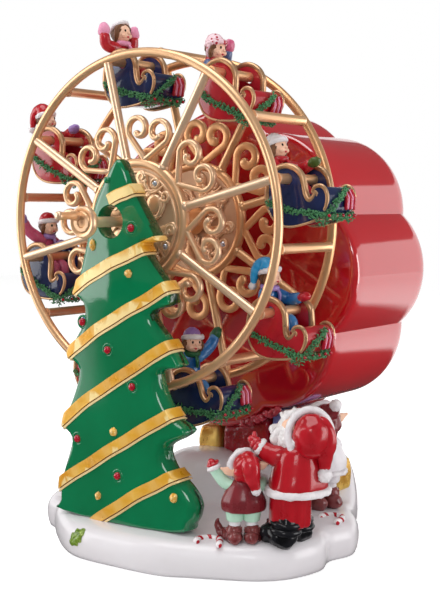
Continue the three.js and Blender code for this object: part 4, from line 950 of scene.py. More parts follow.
def tree_body(grow=0.0, hole=True):
    """The tree's slab: a smooth outline, rounded front and back edges and a slanting back."""
    loop = curve_through([(x * tree_reach, 0, z * tree_tall) for x, z in tree_outline_shares], 4, closed=True)
    count = len(loop)
    normals = outward(loop)
    edge = 2.1 * MM
    # The rounding of an edge is never wider than the lobe it belongs to
    room = []
    for p, m in zip(loop, normals):
        inner = [(q - p).length_squared / (-2 * m.dot(q - p)) for q in loop if m.dot(q - p) < -1e-6]
        room.append(min(min(inner, default=1.0), edge * 3.0))
    room = [min(room[(i + k) % count] for k in range(-2, 3)) for i in range(count)]
    softs = [min(1.9, 0.78 * sum(room[(i + k) % count] for k in range(-3, 4)) / 7 / edge)
        for i in range(count)]
    rounding = (90, 72, 54, 36, 18, 0)
    rings = [(edge * (1 - math.cos(t)) - grow, end, edge * (1 - math.sin(t)) - grow)
             for end, order in ((0, rounding), (1, rounding[::-1])) for t in map(math.radians, order)]
    if grow == 0:
        # One more ring on each face keeps the shading of the rounded edge off the flat
        face_inset = rings[0][0] + 0.3 * MM
        rings = [(face_inset, 0, 0), *rings, (face_inset, 1, 0)]

    def ring_points(inset, end, depth):
        out = []
        for p, m, soft in zip(loop, normals, softs):
            q = p - m * (inset * soft if inset > 0 else inset)
            thick = tree_thickness(q.z)
            deep = depth * min(2.5, 0.44 * thick / edge) if depth > 0 else depth
            y = tree_front + (deep + tree_bow(q.x) if end == 0 else thick - deep)
            q = Vector((q.x + tree_offset, y, q.z + tree_foot))
            q.z = max(q.z, tree_foot)
            out.append(q)
        return out
    points, faces = skin([ring_points(*ring) for ring in rings], ends="none")
    centre = Vector((axle.x, 0, axle.z))
    inner = [Vector((centre.x + math.cos(a) * tree_hole * 1.04, centre.z + math.sin(a) * tree_hole * 1.04))
             for a in angles(40)] if hole else []
    edges = round_pairs(count) + [(count + i, count + j) for i, j in round_pairs(len(inner))]
    hole_rings = []
    for end in (0, len(rings) - 1):
        ring = list(range(end * count, end * count + count))
        flat = [Vector((points[i].x, points[i].z)) for i in ring]
        spread = []
        if end == 0:
            # Points spread over the front let it curve
            spread = [Vector((x * 3.4 * MM + tree_offset, z * 6 * MM + tree_foot)) for x in range(-12, 13)
                      for z in range(1, int(tree_tall / (6 * MM)))]
            spread = [s for s in spread if min((s - f).length_squared for f in flat) > (1.2 * MM) ** 2
                      and (not hole or (s - centre.xz).length > tree_hole * 1.25)]
        verts, _, tris, origins = delaunay_2d_cdt(flat + inner + spread, edges, [], 1, 1e-9)[:4]
        index = {}
        for k, v in enumerate(verts):
            source = [o for o in origins[k] if o < count]
            if source:
                index[k] = ring[source[0]]
                continue
            y = (tree_front - grow + tree_bow(v.x - tree_offset) if end == 0
                 else tree_front + tree_thickness(v.y - tree_foot) + grow)
            points.append(Vector((v.x, y, v.y)))
            index[k] = len(points) - 1
        from_hole = {k: math.hypot(v.x - centre.x, v.y - centre.z) for k, v in enumerate(verts)}
        for tri in tris:
            cx = sum(verts[k].x for k in tri) / len(tri)
            cz = sum(verts[k].y for k in tri) / len(tri)
            if (hole and all(not [o for o in origins[k] if o < count] for k in tri)
                    and math.hypot(cx - centre.x, cz - centre.z) < tree_hole * 1.04):
                continue
            face = tuple(index[k] for k in tri)
            faces.append(face if end else face[::-1])
        hole_rings.append(sorted((index[k] for k in index if abs(from_hole[k] - tree_hole * 1.04) < 1e-6),
                                 key=lambda k: math.atan2(points[k].z - centre.z, points[k].x - centre.x)))
    if hole:
        front_ring, back_ring = hole_rings
        rows = [front_ring]
        for ring, inset, deep in ((front_ring, 0.18, 0.25), (front_ring, 0.0, 0.8), (back_ring, 0.0, -0.8)):
            row = []
            for k in ring:
                p = points[k]
                way = Vector((p.x - centre.x, 0, p.z - centre.z)).normalized()
                points.append(Vector((centre.x, p.y + deep * MM, centre.z)) + way * (tree_hole + inset * MM))
                row.append(len(points) - 1)
            rows.append(row)
        rows.append(back_ring)
        for a, b in zip(rows, rows[1:]):
            faces += [(a[i], a[j], b[j], b[i]) for i, j in round_pairs(len(a))]
    return points, faces


def tree_point(x_share, z_share, depth=0.0):
    return Vector((x_share * tree_reach + tree_offset, tree_front - depth, z_share * tree_tall + tree_foot))


# Places in millimetres, and for the gold ones how wide and tall they are
red_baubles = [(12.4, 149.4), (-17.3, 106.3), (-1.6, 94.6), (12.7, 79.2), (-21.2, 51.9), (4, 38)]
gold_baubles = [(10.9, 129.4, 1.9, 1.9), (-10.3, 141.5, 1.5, 2.6), (1.8, 57.9, 2.0, 2.0),
                (-7.8, 27.3, 1.5, 1.9),
                (35, 32.3, 2.1, 2.1)]


def build_tree():
    """The glossy slab with its mossy upper right side, five garlands and its baubles."""
    tree = piece("tree post", tree_body(), tree_green, "stand", "tree_green", ("tree_post",), sharp=35)
    tree.data.materials.append(moss_green)
    work = bmesh.new()
    work.from_mesh(tree.data)
    for face in work.faces:
        at = face.calc_center_median()
        if (abs(face.normal.y) < 0.4 and at.z > tree_foot + tree_tall * 0.54 and at.x > axle.x
                and math.hypot(at.x - axle.x, at.z - axle.z) > tree_hole * 1.3):
            face.material_index = 1
    work.to_mesh(tree.data)
    work.free()

    proud, lower, thin = (tree_body(grow=g * MM, hole=False) for g in (0.75, 0.45, 0.2))
    half, trim = 2.5 * MM, 1.1 * MM
    room = tree_hole + 0.4 * MM
    shaft_room = turned([(0, tree_front - 5 * MM), (room, tree_front - 5 * MM), (room, tree_front + 20 * MM),
                         (0, tree_front + 20 * MM)], 40, centre=(axle.x, 0, axle.z))
    live = (("BEVEL", {"width": 0.28 * MM, "segments": 2, "limit_method": "ANGLE",
                       "angle_limit": math.radians(50), "harden_normals": False}),)
    for k, line in enumerate(garland_lines):
        path = curve_through([tree_point(x, z) for x, z in line], 4)
        for name, body, above, below, paint in (("band", proud, half, -half + 0.35 * MM, tinsel_gold),
                                                ("line", thin, -half + 0.5 * MM, -half - 0.15 * MM,
                                                line_brown),
                                                ("edge", lower, -half - 0.1 * MM, -half - trim, pale_gold)):
            corners = []
            for i, middle in enumerate(path):
                along = heading(path, i)
                up = Vector((-along.z, 0, along.x))
                wave = up * 0.15 * MM * math.sin(i * 0.9 + k * 2.1)
                corners.append([middle + wave + up * s + Vector((0, d, 0)) for s, d in
                                ((below, -3 * MM), (above, -3 * MM), (above, 30 * MM), (below, 30 * MM))])
            band = boolean(body, skin(corners), "INTERSECT", f"garland {k}")
            if k == 0:
                band = boolean(band, shaft_room, "DIFFERENCE", "garland by the hole")
            piece(f"garland {name} {k + 1}", band, paint, "stand", "tree_green", sharp=35, live=live)

    def on_front(x, z, sunk):
        return Vector((x * MM, tree_front + tree_bow(x * MM - tree_offset) - sunk * MM, z * MM))
    reds, golds, cups = [], [], []
    for x, z in red_baubles:
        at = on_front(x, z, 0.15)
        reds.append(ball(at, (1.75 * MM, 1.5 * MM, 1.75 * MM), rows=12, sides=20, rough=0.12, grain=2.4,
            seed=x))
        cup = [at + Vector((math.cos(a) * 2.75 * MM, 0.2 * MM, math.sin(a) * 2.75 * MM)) for a in angles(28)]
        cups.append(swept([p + Vector((0, 0.35 * MM, 0)) for p in cup], 0.6 * MM, 10, across=(0, 1, 0),
            closed=True))
    for x, z, wide, tall in gold_baubles:
        at = on_front(x, z, 0.1)
        golds.append(ball(at, (wide * MM, 1.5 * MM, tall * MM), rows=12, sides=20, rough=0.2, grain=2.0,
            seed=x))
        golds.append(ball(at - Vector((0, 1.3 * MM, 0)), 0.6 * MM, rows=8, sides=12))
    cups.append(ball(Vector((-1.4 * MM, tree_front, 170.5 * MM)), (1.8 * MM, 1.2 * MM, 1.5 * MM)))
    piece("tree red baubles", joined(*reds), berry_red, "stand", "coat_red", sharp=0)
    piece("tree gold baubles", joined(*golds), tinsel_gold, "stand", "tree_green", sharp=0)
    piece("bauble cups", joined(*cups), tree_green, "stand", "tree_green", sharp=0)


# Drum

valley_share = 0.9165


def build_drum():
    """The lacquered drum with its eight lobes, and the plain cover and screws on its back."""
    cover_low, cover_high, cover_size, cover_middle = size_of("drum_back_cover")
    crown = drum_size.z / 2
    valley = crown * valley_share
    front, back = drum_low.y, drum_high.y
    lip, bulge = 2.6 * MM, 17 * MM
    mouth = cover_size.x / 2 + 0.3 * MM
    profile = [(0.0, front)] + [(crown * s, front) for s in (0.2, 0.5, 0.7, 0.82, 0.9, 0.945)]
    for t in map(math.radians, (90, 65, 40, 20, 0)):
        profile.append((crown - lip * (1 - math.cos(t)), front + lip * (1 - math.sin(t))))
    profile += [(crown, front + (back - front - bulge) * s) for s in (0.12, 0.3, 0.5, 0.75, 0.95)]
    for t in map(math.radians, range(0, 91, 9)):
        profile.append((crown - bulge * (1 - math.cos(t)), back - bulge * (1 - math.sin(t))))
    profile += [(mouth + 2 * MM, back), (mouth + 0.5 * MM, back), (mouth, back - 0.5 * MM),
                (mouth, back - 4 * MM),
                (mouth - 4 * MM, back - 4 * MM), (0, back - 4 * MM)]
    # A turned profile starts at +Z; eight lobes have a crown there too
    centre = (drum_middle.x, 0.0, drum_middle.z)
    mesh = grown("drum shell", turned(profile, 192, centre=centre), scalloped,
                 {"Lobes": 8, "Crown Radius": crown, "Valley Radius": valley, "Centre": centre}, drum_red)
    dress("drum shell", mesh, drum_red, "stand", "drum_red", ("drum_shell",), 30)
    r = cover_size.x / 2
    y0, y1 = cover_low.y, cover_high.y
    cover = [(0, y0), (r, y0), (r, y1 - 0.8 * MM), (r - 0.8 * MM, y1), (r * 0.86, y1),
             (r * 0.84, y1 - 0.5 * MM),
             (r * 0.8, y1 - 0.5 * MM), (r * 0.78, y1), (0, y1)]
    centre = (cover_middle.x, 0.0, cover_middle.z)
    piece("drum back cover", turned(cover, 96, centre=centre), drum_red, "stand", "drum_red",
          ("drum_back_cover",), sharp=35)
    screw = turned([(0, 0.55 * MM), (1.6 * MM, 0.4 * MM), (2.1 * MM, 0.05 * MM), (2.1 * MM, -0.4 * MM),
                    (0, -0.4 * MM)], 20, centre=(r * 0.9, y1, 0))
    slot_bar = swept([Vector((r * 0.9 + x * MM, y1 + 0.55 * MM, 0)) for x in (-1.3, 1.3)], 0.16 * MM, 6)
    round_wheel("cover screws", joined(screw, slot_bar), 3, math.pi / 2, comb_steel, sharp=30, centre=centre,
                body="stand", slot="comb_steel")


# Snow base

snow_edge_shares = [
    (-0.226, -0.991), (0.057, -1), (0.34, -0.982), (0.509, -0.908), (0.67, -0.834), (0.84, -0.742),
    (0.953, -0.604), (1, -0.401), (0.953, -0.235), (0.991, -0.06), (0.925, 0.106), (0.811, 0.253),
    (0.736, 0.401), (0.651, 0.567), (0.5, 0.77), (0.292, 0.935), (0.009, 1), (-0.226, 0.982),
    (-0.481, 0.899), (-0.708, 0.751), (-0.858, 0.539), (-0.896, 0.309), (-0.934, 0.106), (-1, -0.124),
    (-0.981, -0.355), (-0.877, -0.558), (-0.708, -0.659), (-0.613, -0.76), (-0.415, -0.908)]
base_half = Vector((81.5 * MM, 83.5 * MM))
base_centre = Vector((7 * MM, 29.5 * MM))
base_edge, base_crown = 14 * MM, 2.6 * MM
hill = (Vector((-3 * MM, 33 * MM)), 34 * MM, 20.5 * MM)
terrace = (Vector((18 * MM, 74 * MM)), 50 * MM, 15.5 * MM)


def mound(place, centre, radius, height):
    d = (place - centre).length / radius
    return height * (1 - d * d) ** 2 * (1 + 2 * d * d) if d < 1 else 0.0


def snow_top(place, share=0.0):
    """Height of the snow: the crown, the hill below the wheel, the terrace and ripples."""
    crown = base_edge + base_crown * (1 - min(share, 1) ** 8)
    rise = max(mound(place, *hill), min(mound(place, terrace[0], terrace[1], terrace[2] * 1.6), terrace[2]))
    ripple = noise.noise(Vector((place.x, place.y, 0)) * 38) * 0.5 * MM
    return crown + rise + ripple


def build_snow():
    """The slab of snow: its side, then rings that close over its top."""
    loop = curve_through([(x * base_half.x, y * base_half.y, 0) for x, y in snow_edge_shares], 7, closed=True)
    rings = []
    sides = [(0.975, 0.0), (0.984, 0.25), (0.994, 2.2), (1.0, 5.0), (1.001, 7.6), (0.995, 10.2),
             (0.983, 12.2),
             (0.965, 13.6)]
    for scale, height in sides:
        ring = []
        for p in loop:
            lump = 0.006 * noise.noise(Vector((p.x, p.y, height * 0.001)) * 26)
            q = Vector((p.x, p.y)) * (scale + lump * min(1, height / 4)) + base_centre
            top = snow_top(q, 0.97)
            ring.append(Vector((q.x, q.y, height * MM * (1 if height < 9 else top / base_edge))))
        rings.append(ring)
    for k in range(34):
        scale = 0.945 * (1 - k / 34) ** 0.92
        ring = []
        for p in loop:
            q = Vector((p.x, p.y)) * scale + base_centre
            ring.append(Vector((q.x, q.y, snow_top(q, scale))))
        rings.append(ring)
    shape = skin(rings)
    piece("snow base", shape, snow_white, "stand", "snow_white", ("snow_base",), sharp=60)
    return shape


build_rims()
build_rods()
spoke_frame(-1, wheel_gold, 1.25, 0.35)
spoke_frame(1, rear_shaded_gold, 0.55, 0.85)
build_turned_parts()
build_tree()
build_drum()
snow_shape = build_snow()


# Gondolas: a sleigh on its rod, with gold edges, a fir garland, candy sticks, berries and a rider

sleigh_blue = finish("sleigh midnight blue", "1A2650", "0C1230", hollow_shade="060814", worn_and_highlight="3E4C82",
                     roughness=0.3, coat=1.0, specular=0.1, wash_share=1.0, cloud=170, bump=0.3)
sleigh_red = finish("sleigh cherry red", "B40E20", "8D0814", hollow_shade="4A0610", worn_and_highlight="D0404C",
                    roughness=0.3, coat=1.0, specular=0.15, cloud=170, bump=0.3)
trim_gold = finish("sleigh trim gold", "DDA36C", "A8693A", hollow_shade="4A2410", worn_and_highlight="FFE6C4",
                   roughness=0.3, metallic=0.7, cloud=220, bump=0.3, wash_share=0.85)
slate_blue = finish("slate blue sleeve", "46588A", "2E3C66", hollow_shade="141C38", worn_and_highlight="8A9AC4", roughness=0.28,
                    coat=0.4, cloud=200, bump=0.3)
olive_mitten = finish("olive mitten", "5E7034", "3C4C1E", hollow_shade="1E2A0C", roughness=0.34, cloud=260, bump=0.3)
fir_green = finish("fir garland green", "0B4429", "062C18", hollow_shade="05200F", worn_and_highlight="5FA36E",
                   roughness=0.35, cloud=420, bump=0.3, contrast=2.4, worn_and_highlight_share=0.7)
skin_tone = finish("doll skin", "FAD3B8", "F0B89A", hollow_shade="C47E60", roughness=0.34, cloud=260,
                   bump=0.12)
eye_dark = finish("painted eyes", "1B120F", "0E0908", roughness=0.2, cloud=400, bump=0.05)
hair_brown = finish("painted brown hair", "6B4026", "3E2213", hollow_shade="22110A", worn_and_highlight="9B6A44",
                    roughness=0.4, cloud=500, ripple=700, bump=0.8, contrast=2.0)
fur_white = finish("carved white fur", "F0ECEC", "D5CDD2", hollow_shade="A79BA6", roughness=0.38,
                   cloud=380, ripple=520, bump=0.7, contrast=1.4, wash_share=0.7)
coat_red = finish("coat red", "BC0E20", "960814", hollow_shade="4A040A", worn_and_highlight="DE4450", roughness=0.3, specular=0.2,
                  wash_share=0.9, coat=0.8, cloud=130, bump=0.35)
dark_red = finish("tunic wine red", "86262E", "5E1A20", hollow_shade="32090F", worn_and_highlight="A8545C",
                  roughness=0.28, coat=0.3, cloud=160, bump=0.35)
coat_blue = finish("coat blue", "1F72B8", "0F4A86", hollow_shade="082A52", worn_and_highlight="74B2E2", roughness=0.24,
                   coat=0.4, cloud=240, bump=0.45, contrast=1.8)
bright_blue = finish("hat blue", "22A0DA", "0F78B4", hollow_shade="0A4A78", worn_and_highlight="8AD4F4", roughness=0.24,
                     coat=0.4, cloud=240, bump=0.4)
soft_pink = finish("mitten pink", "F0A8C4", "DE84AA", hollow_shade="A85078", roughness=0.34, cloud=260,
                   bump=0.35)
rose_coat = finish("rose coat", "D0527C", "A8305C", hollow_shade="661436", worn_and_highlight="F09AB6", roughness=0.28,
                   coat=0.3, cloud=240, bump=0.4)
lilac = finish("lilac wool", "9A78BE", "7550A0", hollow_shade="432A66", worn_and_highlight="C8B0E2", roughness=0.34,
               cloud=260, ripple=600, bump=0.5)
mint = finish("mint paint", "C4E4D0", "A4D0B6", hollow_shade="5C8A70", roughness=0.3, coat=0.2, cloud=200,
              bump=0.3)
mitten_green = finish("mitten green", "14532F", "0A331B", hollow_shade="051A0D", worn_and_highlight="3F8558",
                      roughness=0.3, cloud=300, ripple=700, bump=0.5)
speckled_knit = finish("speckled knit", "F2D9DE", "E2B8C2", hollow_shade="B06A7C", roughness=0.4,
                       cloud=300, ripple=700, bump=0.5, speck=("B01830", 620, 0.42, 0.6))
boot_black = finish("boot black", "101014", "060608", worn_and_highlight="26262C", roughness=0.4, coat=0.6, specular=0.1,
                    cloud=200, bump=0.4)
boot_brown = finish("elf boot brown", "7A2E30", "521C20", hollow_shade="2C0C10", worn_and_highlight="A8605E",
                    roughness=0.24, coat=0.4, cloud=240, bump=0.4)


def sprig_tree():
    """Small needle sprigs that stand out in all directions along a path."""
    group, given, close = growing("Sprigs on a path", {"Spacing": 0.0006, "Needle Length": 0.0017,
                                  "Needle Radius": 0.00042, "Scatter": 0.0008, "Seed": 1})
    path = node(group, "GeometryNodeMeshToCurve", {"Mesh": given["Geometry"]})
    points = node(group, "GeometryNodeResampleCurve", {"Curve": path.outputs[0], "Length": given["Spacing"]},
                  mode="LENGTH")
    low, high = (node(group, "ShaderNodeVectorMath", {0: (way, way, way), "Scale": given["Scatter"]},
                      operation="SCALE").outputs[0] for way in (-1, 1))
    scattered = node(group, "GeometryNodeSetPosition", {"Geometry": points.outputs[0],
                     "Offset": any_between(group, low, high, given["Seed"])})
    needle = node(group, "GeometryNodeMeshCone", {"Vertices": 5, "Side Segments": 1, "Fill Segments": 1,
                  "Radius Top": 0.0, "Radius Bottom": given["Needle Radius"],
                  "Depth": given["Needle Length"]})
    turn = any_between(group, (0, 0, 0), (TAU, TAU, TAU), maths(group, "ADD", given["Seed"], 7.0))
    rotation = node(group, "FunctionNodeEulerToRotation", {0: turn})
    return close(copies_on(group, scattered.outputs[0], needle.outputs[0], rotation.outputs[0]))


sprigs = sprig_tree()


def path_shape(paths):
    """Points and edges of open paths, as a start for the sprig tree."""
    points, edges = [], []
    for path in paths:
        edges += [(len(points) + i, len(points) + i + 1) for i in range(len(path) - 1)]
        points += path
    return points, [], edges


def plate(loop, y0, y1, edge, steps=3):
    """A flat form with rounded edges between two planes along Y, from a closed loop in X, Z."""
    n = len(loop)
    normals = outward(loop)
    rings = []
    for k in range(steps + 1):
        t = math.pi / 2 * (1 - k / steps)
        rings.append((edge * (1 - math.cos(t)), y0 + edge * (1 - math.sin(t))))
    rings += [(inset, y0 + y1 - y) for inset, y in reversed(rings)]
    built = [[p - m * inset + Vector((0, y, 0)) for p, m in zip(loop, normals)] for inset, y in rings]
    points, faces = skin(built, ends="none")
    for end in (0, len(built) - 1):
        flat = [Vector((p.x, p.z)) for p in built[end]]
        verts, _, tris, origins = delaunay_2d_cdt(flat, round_pairs(n), [], 1, 1e-9)[:4]
        index = {k: end * n + origins[k][0] for k in range(len(verts)) if origins[k]}
        faces += [tuple(index[k] for k in tri) for tri in tris if all(k in index for k in tri)]
    return points, faces


sleigh_low, sleigh_high, sleigh_size = size_of("sleigh_1")[:3]
first_pivot = joint_places["gondola_1_swing"]
sleigh_rear = first_pivot.x - sleigh_low.x
sleigh_front = sleigh_high.x - first_pivot.x
sleigh_rise = sleigh_high.z - first_pivot.z
sleigh_drop = first_pivot.z - sleigh_low.z
sleigh_half = sleigh_size.y / 2
sleigh_wall = sleigh_half * 0.16
sleigh_depth = sleigh_drop * 0.91
hang_tilts = [math.radians(t) for t in (-6, 10, 0, 11, 12, 0, -12, 4)]


def on_sleigh(x, z, y=0.0):
    """A point by shares of the sleigh's reach and rise on its own side of the rod."""
    return Vector((x * (sleigh_rear * 0.84 if x < 0 else sleigh_front), y * sleigh_half,
                   z * (sleigh_depth if z < 0 else sleigh_rise)))


sleigh_side = [(-1, -0.5), (-0.94, -0.14), (-0.76, 0.3), (-0.46, 0.72), (-0.08, 0.86), (0.2, 0.64),
               (0.36, 0.16),
               (0.42, -0.14), (0.45, -0.36), (0.53, -0.47), (0.6, -0.42), (0.64, -0.32), (0.74, -0.25),
               (0.88, -0.26),
               (0.97, -0.36), (1, -0.52), (0.95, -0.7), (0.8, -0.85), (0.42, -0.96), (0, -1), (-0.52, -0.93),
               (-0.85, -0.73)]


def sleigh_path(spots, steps=6):
    return curve_through([on_sleigh(*spot) for spot in spots], steps)


def sleigh_shell():
    """The sleigh's body with its seat hollowed out and its bore for the rod."""
    body = plate(curve_through([on_sleigh(x, z) for x, z in sleigh_side], 4, closed=True),
                 -sleigh_half, sleigh_half, sleigh_wall * 0.35)
    back = -sleigh_rear * 0.84 + sleigh_wall * 0.9
    floor = -sleigh_depth * 0.845
    dash = sleigh_front * 0.45
    seat = [Vector((x, 0, z)) for x, z in (
        (back, sleigh_rise * 2), (back, floor * 0.5), (back * 0.82, floor * 0.9), (back * 0.6, floor),
        (dash * 0.75, floor), (dash * 0.95, floor * 0.85), (dash, floor * 0.5), (dash, sleigh_rise * 2))]
    cut = plate(seat, -sleigh_half + sleigh_wall, sleigh_half - sleigh_wall, 0.0004, 2)
    shell = boolean(body, cut, "DIFFERENCE", "sleigh")
    bore, reach = rod_radius * 1.16, sleigh_half * 1.3
    hole = turned([(0, -reach), (bore, -reach), (bore, reach), (0, reach)], 28)
    return boolean(shell, hole, "DIFFERENCE", "sleigh bore")


sleigh_arch = [
    (-0.93, -0.66), (-0.99, -0.46), (-0.94, -0.12), (-0.76, 0.32), (-0.46, 0.74), (-0.08, 0.88), (0.2, 0.65),
    (0.36, 0.16), (0.41, -0.14), (0.44, -0.36), (0.51, -0.49), (0.6, -0.47), (0.67, -0.39), (0.7, -0.34),
    (0.75, -0.38), (0.73, -0.43)]
sleigh_hook = [(0.64, -0.33), (0.68, -0.26), (0.78, -0.22), (0.9, -0.25), (0.985, -0.36), (1.0, -0.5),
               (0.96, -0.64), (0.9, -0.74)]
sleigh_keel = [(-0.97, -0.6), (-0.83, -0.77), (-0.52, -0.95), (0, -1.02), (0.42, -0.98), (0.7, -0.92)]
side_strand = [(-0.94, -0.42), (-0.5, -0.53), (0.05, -0.64), (0.45, -0.72), (0.86, -0.8)]
low_strand = [(0.5, -0.74, 1.02), (0.66, -0.86, 1.08), (0.8, -0.96, 0.95), (0.9, -0.92, 0.7)]
nose_strands = [[(0.86, -0.84, -1.0), (0.93, -0.88, -0.5), (0.9, -0.9, 0.2), (0.88, -0.84, 1.0)],
                [(0.92, -0.8, -0.85), (1.03, -0.62, -0.55), (1.06, -0.45, -0.1), (0.98, -0.3, 0.35)]]


def sleigh_trim():
    """Gold arches, hooks and keels along both sides."""
    parts = []
    wide = sleigh_wall * 0.72
    arch_widths = [wide * 0.5] + [wide] * 9 + [wide * 0.75, wide * 0.62]
    hook_widths = [wide * 0.62, wide * 0.7, wide * 0.7, wide * 0.5]
    for side in (-1, 1):
        for spots, out, steps, widths, sides, more in (
                (sleigh_arch, 0.93, 6, arch_widths, 10, {"flat": 1.1, "box": 0.3}),
                (sleigh_hook, 0.99, 6, hook_widths, 10, {"flat": 0.8}),
                (sleigh_keel, 0.97, 5, wide * 0.42, 8, {})):
            path = sleigh_path([(x, z, side * out) for x, z in spots], steps)
            parts.append(swept(path, widths, sides, across=(0, 1, 0), **more))
    return joined(*parts)


def sleigh_garlands():
    """Strands along each side and under the nose, and a V over the front of the nose."""
    paths = []
    for side in (-1, 1):
        for drop, y in ((0.0, 1.04), (-0.035, 1.1), (-0.075, 1.04), (-0.04, 1.02)):
            paths.append(sleigh_path([(x, z + drop, side * y) for x, z in side_strand]))
    for side, drop in ((-1, 0.0), (-1, 0.06), (1, 0.0)):
        paths.append(sleigh_path([(x, z - drop, side * y) for x, z, y in low_strand]))
    for lift, push in ((0, 0), (0.04, 0.02), (-0.04, 0.02), (0.0, 0.05)):
        for strand in nose_strands:
            paths.append(sleigh_path([(x + push, z + lift, y) for x, z, y in strand]))
    return paths


def candy_bundle():
    """Small red and pinkish sticks that stand side by side on the front of the nose."""
    reds, pales = [], []
    for i in range(5):
        y = 0.25 + 0.14 * i
        stick = swept([on_sleigh(1.02, -0.72, y), on_sleigh(1.06, -0.5, y), on_sleigh(0.99, -0.34, y)],
                      0.0005 if i % 2 else 0.0009, 8)
        (pales if i % 2 else reds).append(stick)
    return joined(*reds), joined(*pales)


# Riders, in shares of their height from the seat up, facing +X

rider_tall = sleigh_drop * 1.727
rider_place = Vector((-sleigh_rear * 0.6, 0, -sleigh_drop * 0.64))
# Where a hand is held, by reach, distance from the middle and height
hand_places = {"lap": (0.16, 0.1, 0.26), "resting": (0.15, 0.11, 0.42), "reaching": (0.37, 0.12, 0.5),
               "edge": (0.36, 0.15, 0.42), "waving": (0.06, 0.18, 0.68), "raised": (0.05, 0.19, 0.64),
               "flung": (-0.03, 0.28, 0.65),
               "thrown": (-0.1, 0.36, 0.72)}
riders = [
    dict(hat=fur_white, brim=fur_white, coat=coat_red, sleeve=coat_red, mitten=olive_mitten,
         scarf=coat_red, left="lap", right="edge", style="low"),
    dict(hat=speckled_knit, brim=speckled_knit, coat=coat_red, sleeve=slate_blue, mitten=rose_coat,
         scarf=coat_red, left="resting", right="waving", style="bonnet"),
    dict(hat=hair_brown, brim=None, coat=coat_red, sleeve=coat_red, mitten=soft_pink,
         scarf=soft_pink, left="flung", right="raised", style="bare"),
    dict(hat=coat_red, brim=fur_white, coat=coat_red, sleeve=coat_red, mitten=lilac, scarf=mint,
         left="lap", right="reaching", style="stocking"),
    dict(hat=coat_red, brim=fur_white, coat=rose_coat, sleeve=rose_coat, mitten=lilac, scarf=lilac,
         left="thrown", right="resting", style="low"),
    dict(hat=bright_blue, brim=fur_white, coat=coat_blue, sleeve=coat_blue, mitten=coat_red,
         scarf=mint, left="resting", right="resting", style="low", cuff=fur_white),
    dict(hat=lilac, brim=fur_white, coat=coat_blue, sleeve=coat_blue, mitten=mitten_green,
         scarf=mitten_green, left="thrown", right="thrown", style="low"),
    dict(hat=bright_blue, brim=fur_white, coat=coat_blue, sleeve=coat_blue, mitten=coat_red,
         scarf=lilac, left="lap", right="edge", style="stocking")]

# How far each rider sits back and up from the common seat, how far they lean back, how far they turn
rider_settings = [(0.045, 0.11, 4, 0), (0.11, -0.01, 4, 0), (0.025, 0.13, 4, 0), (0.06, -0.05, 14, 0),
                  (-0.06, 0.08, 6, 0), (0.02, 0.03, 4, 0), (0.02, 0.21, -18, -28), (-0.02, 0.09, 4, 0)]


def ring_path(centre, radius, tilt=0.0):
    """A circle that leans forward by tilt."""
    lean = Matrix.Rotation(tilt, 3, "Y")
    return [Vector(centre) + lean @ Vector((math.cos(a) * radius, math.sin(a) * radius, 0))
        for a in angles(28)]


def oval_body(levels, steps=24, smooth=4):
    """A skin over oval levels: height, radius, how much broader across, how far forward."""
    path = curve_through([(z, r, b) for z, r, b, f in levels], smooth)
    forward = curve_through([(f, 0, 0) for z, r, b, f in levels], smooth)
    return skin([[Vector((f.x + r * math.cos(a), r * b * math.sin(a), z)) for a in angles(steps)]
                 for (z, r, b), f in zip(path, forward)])


def furry(path, radius, closed=False, seed=0, amount=0.3, sides=12):
    """A fur roll: a tube whose surface is broken into tufts."""
    points, faces = swept(path, radius, sides, closed=closed)
    r = radius if not isinstance(radius, (list, tuple)) else max(radius)
    spot = Vector((seed * 3.1, seed, 0))
    out = []
    for p in points:
        push = noise.noise(p / r * 1.4 + spot) + 0.5 * noise.noise(p / r * 3.1 + spot)
        near = min(path, key=lambda q: (q - p).length_squared)
        out.append(p + (p - near) * amount * push)
    return out, faces


def fur_rope(points, steps, radii, seed):
    """A lock of carved hair through a few points."""
    return furry(curve_through(points, steps), radii, False, seed, 0.4, 16)


rider_trunk = [
    (-0.1, 0.1, 1.3, 0.02), (0.0, 0.12, 1.3, 0.03), (0.08, 0.13, 1.25, 0.03), (0.17, 0.125, 1.2, 0.02),
    (0.24, 0.11, 1.3, 0.01), (0.36, 0.098, 1.35, 0.0), (0.46, 0.085, 1.35, 0.0), (0.52, 0.06, 1.15, 0.005),
    (0.54, 0.03, 1.0, 0.01)]


